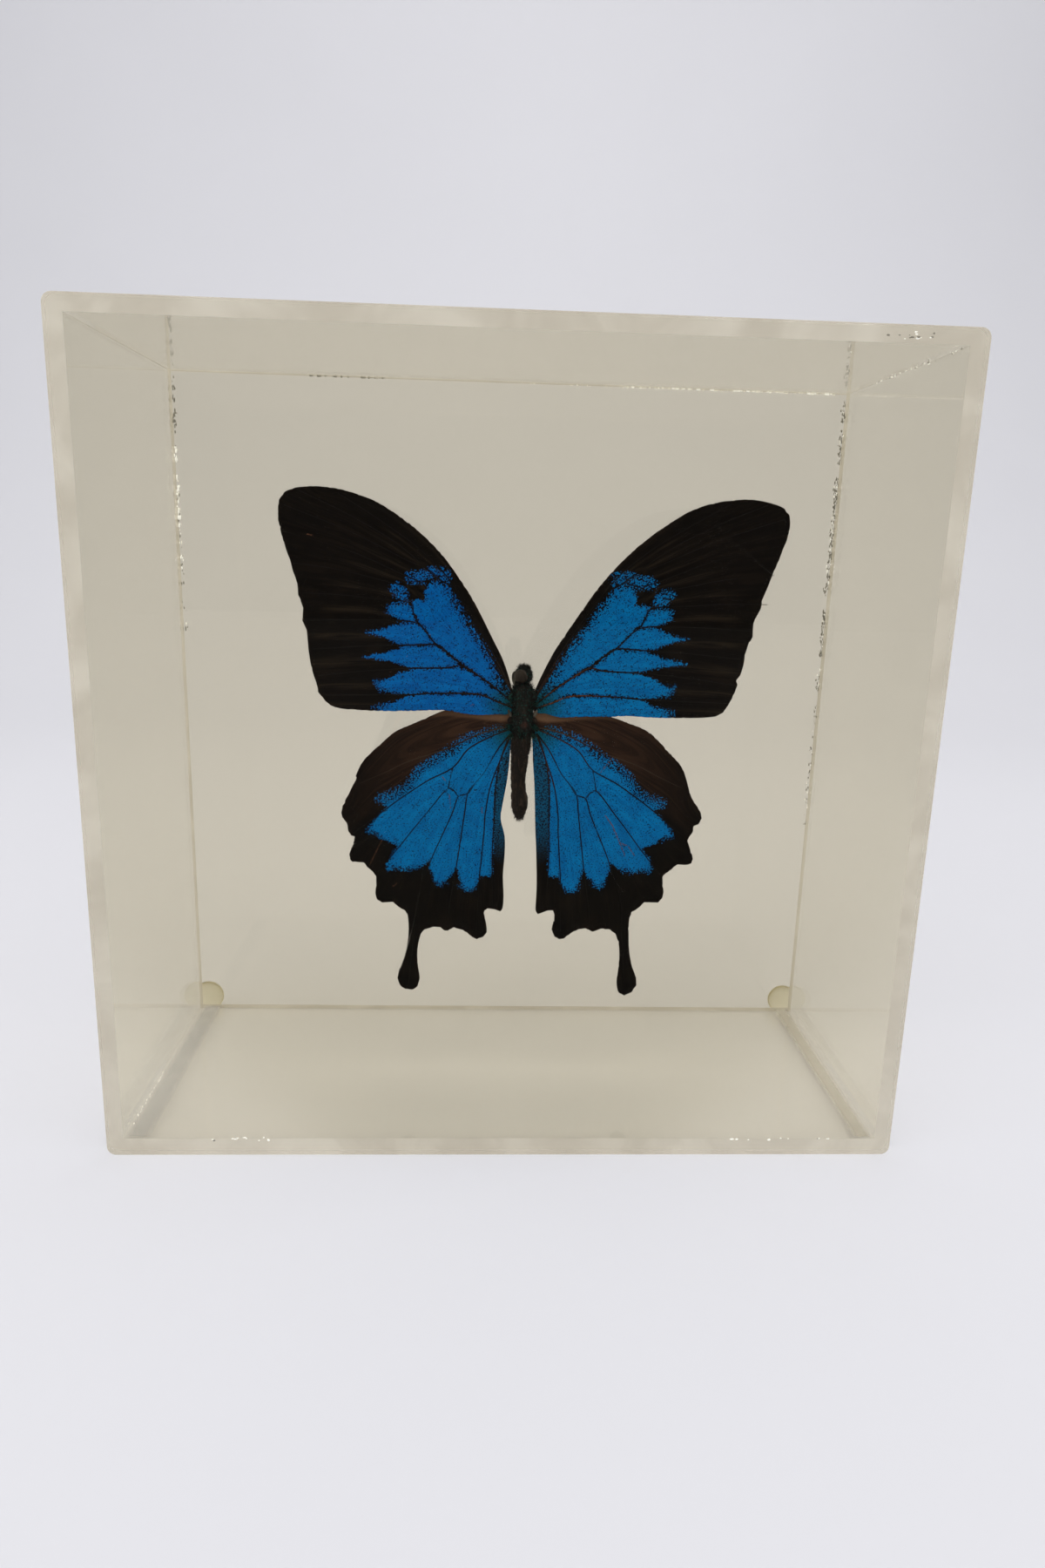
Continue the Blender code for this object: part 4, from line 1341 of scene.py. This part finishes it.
def vein_material():
    """Dark on the blue and the black, browner beside the body, and rust where the scales wore off."""
    material, tree, shader = new_material("wing veins", Roughness=0.65, Specular_IOR_Level=0.1)
    value = attributes(tree, ("reach", "brown", "tan", "hind", "across"))
    place = object_place(tree)
    grain = cloud(place, 1500.0, 2.0)
    near_body = times(ease(value["reach"], 22.0, 5.0), ease(grain, 0.3, 0.6))
    shade = tint(near_body, VEIN_DARK, VEIN_BROWN)
    at_right = ease(axes_of(place)["X"], 7.0 * MM, 9.0 * MM)
    rust = less(times(near_body, at_right), value["hind"], 0.75)
    rust = less(rust, ease(value["across"], 6.0, 7.5), 0.9)
    shade = tint(rust, shade, VEIN_RUST)
    shade = tint(times(value["brown"], 0.8), shade, VEIN_PALE)
    shade = tint(times(value["tan"], 0.5), shade, TAN)
    tree.links.new(shade, shader.inputs["Base Color"])
    set_bump(shader, grain, 0.3, 0.05 * MM)
    return material


wing_finish = [wing_material(), vein_material()]
for node in ("forewing_left", "forewing_right", "hindwing_left", "hindwing_right"):
    add_wing(node, wing_finish)

# %% [markdown]
# The body is dark and furry. The head is turned to one side, so one round eye faces the viewer, and
# a pale grey crescent at the eye's rim is a painted highlight. The thorax carries dark hair with
# teal-green scales and grey-brown streaks, and the abdomen is a scaly brown taper with rings and a
# frayed end. Each form is a profile that is spun round, flattened, bent a little and roughened. The
# fur is real strands: one hair with few faces, copied by the hundred where the form's faces allow it.

# %% Finish of the body
TEAL_SCALES, RUST_SPOT = (0.003, 0.060, 0.047, 1), (0.045, 0.016, 0.011, 1)
PALE_HAIR = (0.12, 0.10, 0.08, 1)
RUST_ACROSS, RUST_UP = 3.3 * MM, 94.4 * MM
# the darker and the lighter colour, the scale, the roughness, and the share of teal scales
SKINS = {
    "dark skin": ((0.0025, 0.0025, 0.002, 1), (0.016, 0.012, 0.009, 1), 700.0, 0.7, 0.5),
    "dark fur": ((0.002, 0.002, 0.0015, 1), (0.009, 0.0075, 0.005, 1), 1800.0, 0.8, 0.0),
    "teal scales": ((0.002, 0.028, 0.022, 1), (0.004, 0.100, 0.078, 1), 2500.0, 0.5, 0.6),
    "brown scales": ((0.007, 0.0045, 0.003, 1), (0.026, 0.016, 0.010, 1), 1500.0, 0.7, 0.0),
    "brown fur": ((0.009, 0.0055, 0.0035, 1), (0.034, 0.021, 0.013, 1), 1500.0, 0.8, 0.0),
    "eye": ((0.017, 0.012, 0.008, 1), (0.032, 0.023, 0.017, 1), 1400.0, 0.45, 0.0),
    "grey scales and painted eye highlight": ((0.035, 0.031, 0.024, 1), (0.12, 0.11, 0.09, 1), 900.0, 0.6, 0.0),
}


def body_skin(name, dark, light, scale, roughness, teal):
    """Skin and scales of the body: streaks along it, teal scales, and one rust-coloured spot."""
    material, tree, shader = new_material(name, Roughness=roughness, Specular_IOR_Level=0.15)
    place = object_place(tree)
    along = add_node(tree, "ShaderNodeMapping", {"Vector": place, "Scale": (1.0, 1.0, 0.3)}).outputs[0]
    streak = cloud(along, scale, 4.0)
    grain = cloud(place, scale * 2.4, 3.0)
    shade = tint(ease(streak, 0.48, 0.66), dark, light)
    shade = tint(times(ease(grain, 0.54, 0.62), teal), shade, TEAL_SCALES)
    if name == "dark skin":
        across = minus(axes_of(place)["X"], RUST_ACROSS)
        up = minus(axes_of(place)["Z"], RUST_UP)
        round_sum = plus(times(across, across), times(up, up))
        spot = ease(maths("SQRT", round_sum), 1.1 * MM, 0.5 * MM)
        shade = tint(times(spot, 0.8), shade, RUST_SPOT)
    pale = times(specks(tree, scale * 2.2, 0.66), 0.35)
    shade = tint(pale, shade, PALE_HAIR)
    tree.links.new(shade, shader.inputs["Base Color"])
    set_bump(shader, grain, 0.6, 0.15 * MM)
    return material


skins = {name: body_skin(name, *values) for name, values in SKINS.items()}
print("finishes of the body:", ", ".join(skins))

# %% [markdown]
# The forms themselves. A profile lists half-widths and heights in millimetres, read from the body's
# outline, and a second list says how far its middle swings aside. The solids have the same forms in
# plainer shape. The pieces here meet and overlap a little, because a real body has no gaps.

# %% Forms of the body
THORAX_FORM = [
    (104.0, 0.0), (103.9, 1.0), (103.4, 1.9), (102.6, 2.5), (101.4, 2.8), (99.5, 2.75), (97.5, 2.7),
    (95.5, 2.8), (94, 2.85), (92.6, 2.65), (91.4, 2.4), (90.2, 2.1), (89.5, 1.4), (89.3, 0.0),
]
ABDOMEN_FORM = [
    (92.2, 0.0), (92.1, 0.9), (91.4, 1.9), (90.3, 2.3), (89, 2.5), (87.8, 2.35), (86.5, 2.2), (84, 2.1),
    (81, 1.85), (78, 1.8), (75.5, 2.05), (74, 2.1), (72.5, 1.8), (71.2, 1.35), (70.3, 0.75), (69.95, 0.0),
]
# where the middle lies at each height
ABDOMEN_SWING = [(92, 2.85), (88, 2.65), (84, 2.5), (81, 2.3), (78, 2.45), (75, 2.8), (70, 2.85)]
RING_SPACING, RING_DEPTH = 2.35, 0.05
HEAD_FORM = ((3.0, 106.05), (2.15, 2.05, 2.3))
EYE_MIDDLE, EYE_RADIUS = (2.42, 105.9), 1.72


def spun_form(bm, form, middle_y, deeper, sides):
    """A profile spun round an upright axis, then stretched from front to back."""
    chain = [(max(0, half) * MM, up * MM) for up, half in curve_through(form, step=0.22)]
    place = Matrix.Translation((BODY_MIDDLE * MM, middle_y, 0)) @ Matrix.Diagonal((1, deeper, 1, 1))
    spin_profile(bm, chain, sides, place)
    soften(bm.faces)


def roughened(bm, size, amount, seed):
    """Moves each point along its normal, so that a smooth shape looks grown."""
    bm.normal_update()
    for vert in bm.verts:
        bump = noise.fractal(vert.co / size + Vector((seed, 0, 0)), 1.0, 2.0, 3)
        vert.co += vert.normal * bump * amount
    bmesh.ops.recalc_face_normals(bm, faces=bm.faces)


def add_ball(bm, middle, half, segments, finish, tilt=0.0):
    """A ball stretched to its half sizes in millimetres, tilted in the wings' plane."""
    place = Matrix.Translation(Vector(middle) * MM) @ Matrix.Rotation(math.radians(tilt), 4, "Y")
    place = place @ Matrix.Diagonal((*half, 1))
    made = bmesh.ops.create_uvsphere(
        bm, u_segments=segments, v_segments=segments // 2, radius=MM, matrix=place
    )
    soften({face for vert in made["verts"] for face in vert.link_faces}, finish)


# %% [markdown]
# One hair is a three-sided cone, cut across twice and bent. It is copied onto faces that a seeded
# random choice picks by their area, and it leans the way the coat lies.

# %% Fur
HAIR_BEND = 2.2
TUFT_HAIR = 0.09 * MM


def shaken(rng, spread):
    return Vector([rng.gauss(0, spread) for _ in range(3)])


def strand_mesh(finish):
    bm = bmesh.new()
    bmesh.ops.create_cone(
        bm, cap_ends=True, segments=3, radius1=0.5, radius2=0.06, depth=1,
        matrix=Matrix.Translation((0, 0, 0.5)),
    )
    long_edges = [e for e in bm.edges if run_along(e, 2) > 0.5]
    bmesh.ops.subdivide_edges(bm, edges=long_edges, cuts=2)
    for vert in bm.verts:
        vert.co.x += HAIR_BEND * vert.co.z**2
    soften(bm.faces, finish)
    return as_mesh("strand", bm)


def add_strand(bm, strand, root, direction, length, width, roll):
    turn = direction.to_track_quat("Z", "Y").to_matrix().to_4x4() @ Matrix.Rotation(roll, 4, "Z")
    copy = strand.copy()
    copy.transform(Matrix.Translation(root) @ turn @ Matrix.Diagonal((width, width, length, 1)))
    bm.from_mesh(copy)
    bpy.data.meshes.remove(copy)


def add_coat(bm, source, count, length, width, lean, kinds, where, seed):
    """Hair of these kinds (finish and share) on the faces that where allows, lying as lean says."""
    rng = random.Random(seed)
    faces = [f for f in source.faces if where(f.calc_center_median() / MM)]
    weights = [f.calc_area() for f in faces]
    numbers, shares = zip(*kinds)
    strands = [strand_mesh(finish) for finish in numbers]
    for face in rng.choices(faces, weights, k=count):
        corners = [v.co for v in face.verts]
        mix = [rng.random() + 0.05 for _ in corners]
        root = sum((co * m for co, m in zip(corners, mix)), Vector()) / sum(mix)
        direction = (face.normal * 0.55 + Vector(lean) + shaken(rng, 0.28)).normalized()
        strand = rng.choices(strands, shares)[0]
        long = length * rng.uniform(0.6, 1.25) * MM
        start = root - face.normal * 0.05 * MM
        add_strand(bm, strand, start, direction, long, width * MM, rng.uniform(0, math.tau))
    for strand in strands:
        bpy.data.meshes.remove(strand)


def add_tuft(bm, place, direction, count, spread, length, kinds, seed):
    """A tuft that fans out from one place, as where a wing joins the body."""
    rng = random.Random(seed)
    numbers, shares = zip(*kinds)
    strands = [strand_mesh(finish) for finish in numbers]
    for _ in range(count):
        root = Vector(place) + shaken(rng, spread)
        aim = (Vector(direction) + shaken(rng, 0.35)).normalized()
        strand = rng.choices(strands, shares)[0]
        long = length * rng.uniform(0.5, 1.2) * MM
        add_strand(bm, strand, root * MM, aim, long, TUFT_HAIR, rng.uniform(0, math.tau))
    for strand in strands:
        bpy.data.meshes.remove(strand)


# %% [markdown]
# The thorax. Small grey covers lie over the wing roots, short tufts close the roots, and the hair
# lies downwards, but stands up round the neck.

# %% Thorax
thorax_low, thorax_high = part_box("thorax")
BODY_DEPTH = (thorax_low.y + thorax_high.y) / 2
THORAX_DEEPER = (thorax_high.y - thorax_low.y) / 2 / (2.85 * MM)
# finish numbers of the thorax: skin, dark fur, teal scales, brown fur, grey scales
DARK_COAT, TEAL_TUFT = [(1, 0.9), (2, 0.1)], [(2, 0.7), (1, 0.3)]
MIXED_COAT = [(1, 0.62), (2, 0.22), (3, 0.16)]
# how far in and back, height, direction, how many, spread, length, kinds and seed
TUFTS = (
    (0.2, 0.4, 93.9, (0.8, -0.35, -0.6), 90, 0.3, 1.3, TEAL_TUFT, 31),
    (0.5, 0.5, 91.6, (0.5, -0.3, -0.8), 80, 0.3, 1.2, TEAL_TUFT, 32),
    (0.2, 0.3, 99.2, (0.9, -0.2, 0.5), 90, 0.4, 1.4, TEAL_TUFT, 33),
    (0.3, 0.3, 102.0, (0.7, -0.2, 0.7), 70, 0.4, 1.2, DARK_COAT, 34),
)


def add_thorax():
    bm = bmesh.new()
    spun_form(bm, THORAX_FORM, BODY_DEPTH, THORAX_DEEPER, 44)
    roughened(bm, 0.0014, 0.00016, 3.0)
    source = bm.copy()
    add_coat(bm, source, 1500, 1.0, 0.085, (0, 0, -0.8), MIXED_COAT, lambda c: c.z < 101.5, 5)
    add_coat(bm, source, 420, 1.15, 0.10, (0, 0, 0.5), DARK_COAT, lambda c: c.z > 101, 15)
    add_coat(bm, source, 260, 1.2, 0.10, (0, 0, -1.0), [(3, 0.8), (1, 0.2)], lambda c: c.z < 92.5, 25)
    source.free()
    front = BODY_DEPTH / MM - 1.9
    for side in (-1, 1):
        across = BODY_MIDDLE + side * 3.1
        add_ball(bm, (across, front, 97.0), (0.36, 0.5, 1.0), 16, 4, side * 24)
        add_ball(bm, (across - side * 0.3, front + 0.7, 95.2), (0.9, 0.55, 0.8), 20, 3, side * 35)
        add_ball(bm, (across - side * 0.25, front + 0.5, 101.2), (0.9, 0.7, 1.5), 20, 0, side * -14)
        for inward, deeper, height, (aside, y, z), *rest in TUFTS:
            place = (across - side * inward, front + deeper, height)
            add_tuft(bm, place, (side * aside, y, z), *rest)
    names = ("dark skin", "dark fur", "teal scales", "brown fur", "grey scales and painted eye highlight")
    finishes = [skins[name] for name in names]
    finish_piece("thorax_fur", bm, finishes, "body", "thorax")


# %% [markdown]
# The abdomen. Its rings are shallow grooves: where a ring ends, the form is a little narrower.

# %% Abdomen
def add_abdomen():
    bm = bmesh.new()
    spun_form(bm, ABDOMEN_FORM, BODY_DEPTH, THORAX_DEEPER * 1.05, 44)
    heights, middles = zip(*ABDOMEN_SWING)
    for vert in bm.verts:
        up = vert.co.z / MM
        pinch = max(0, math.cos(math.tau * (up - 70) / RING_SPACING) - 0.6) / 0.4
        narrower = 1 - RING_DEPTH * pinch
        vert.co.x = BODY_MIDDLE * MM + (vert.co.x - BODY_MIDDLE * MM) * narrower
        vert.co.y = BODY_DEPTH + (vert.co.y - BODY_DEPTH) * narrower
        vert.co.x += (np.interp(-up, [-h for h in heights], middles) - BODY_MIDDLE) * MM
    roughened(bm, 0.0011, 0.00012, 8.0)
    source = bm.copy()
    coat = [(0, 0.5), (1, 0.5)]
    end = min(v.co.z for v in bm.verts) / MM
    add_coat(bm, source, 700, 0.55, 0.09, (0, 0, -0.9), coat, lambda c: c.z < 90.5, 6)
    add_coat(bm, source, 110, 0.8, 0.11, (0, 0, -1.2), coat, lambda c: c.z < end + 1.0, 7)
    add_coat(bm, source, 220, 1.0, 0.10, (0, 0, -0.6), coat, lambda c: c.z > 87.5, 8)
    source.free()
    finishes = [skins[name] for name in ("brown scales", "brown fur")]
    finish_piece("abdomen_scales", bm, finishes, "body", "abdomen")


# %% [markdown]
# The head. The big eye is a smooth ball that stands a little proud of the fur, with its twin on the
# far side. The fur is left off where the eye is, and a dark cap of it stands above.

# %% Head
def add_head():
    depth = BODY_DEPTH / MM
    (across, up), half = HEAD_FORM
    bm = bmesh.new()
    add_ball(bm, (across, depth, up), half, 36, 0)
    roughened(bm, 0.0010, 0.00012, 12.0)
    source = bm.copy()

    def beside_eye(centre):
        away = math.hypot(centre.x - EYE_MIDDLE[0], centre.z - EYE_MIDDLE[1])
        return away > 1.3 or abs(centre.y - depth) < 0.8

    add_coat(bm, source, 620, 0.6, 0.085, (0, 0, -0.1), [(1, 1.0)], beside_eye, 9)
    add_coat(bm, source, 200, 0.9, 0.10, (0, 0, 0.5), [(1, 1.0)], lambda c: c.z > 107.4, 19)
    source.free()
    for side in (-1, 1):
        add_ball(bm, (EYE_MIDDLE[0], depth + side * 0.95, EYE_MIDDLE[1]), (EYE_RADIUS,) * 3, 44, 2)
    # A pale grey crescent at the eye's left rim, in the grey finish: a painted highlight on the eye.
    add_ball(bm, (1.0, depth - 0.1, 105.15), (0.85, 0.9, 1.85), 24, 3, -8)
    add_tuft(bm, (1.6, depth - 1.2, 103.9), (-0.3, -0.6, -0.6), 50, 0.4, 0.9, [(1, 1.0)], 41)
    add_tuft(bm, (4.2, depth - 1.2, 103.9), (0.5, -0.6, -0.5), 60, 0.4, 1.0, [(1, 1.0)], 42)
    finishes = [skins[name] for name in ("dark skin", "dark fur", "eye", "grey scales and painted eye highlight")]
    finish_piece("furry_head", bm, finishes, "body", "head")


for maker in (add_thorax, add_abdomen, add_head):
    maker()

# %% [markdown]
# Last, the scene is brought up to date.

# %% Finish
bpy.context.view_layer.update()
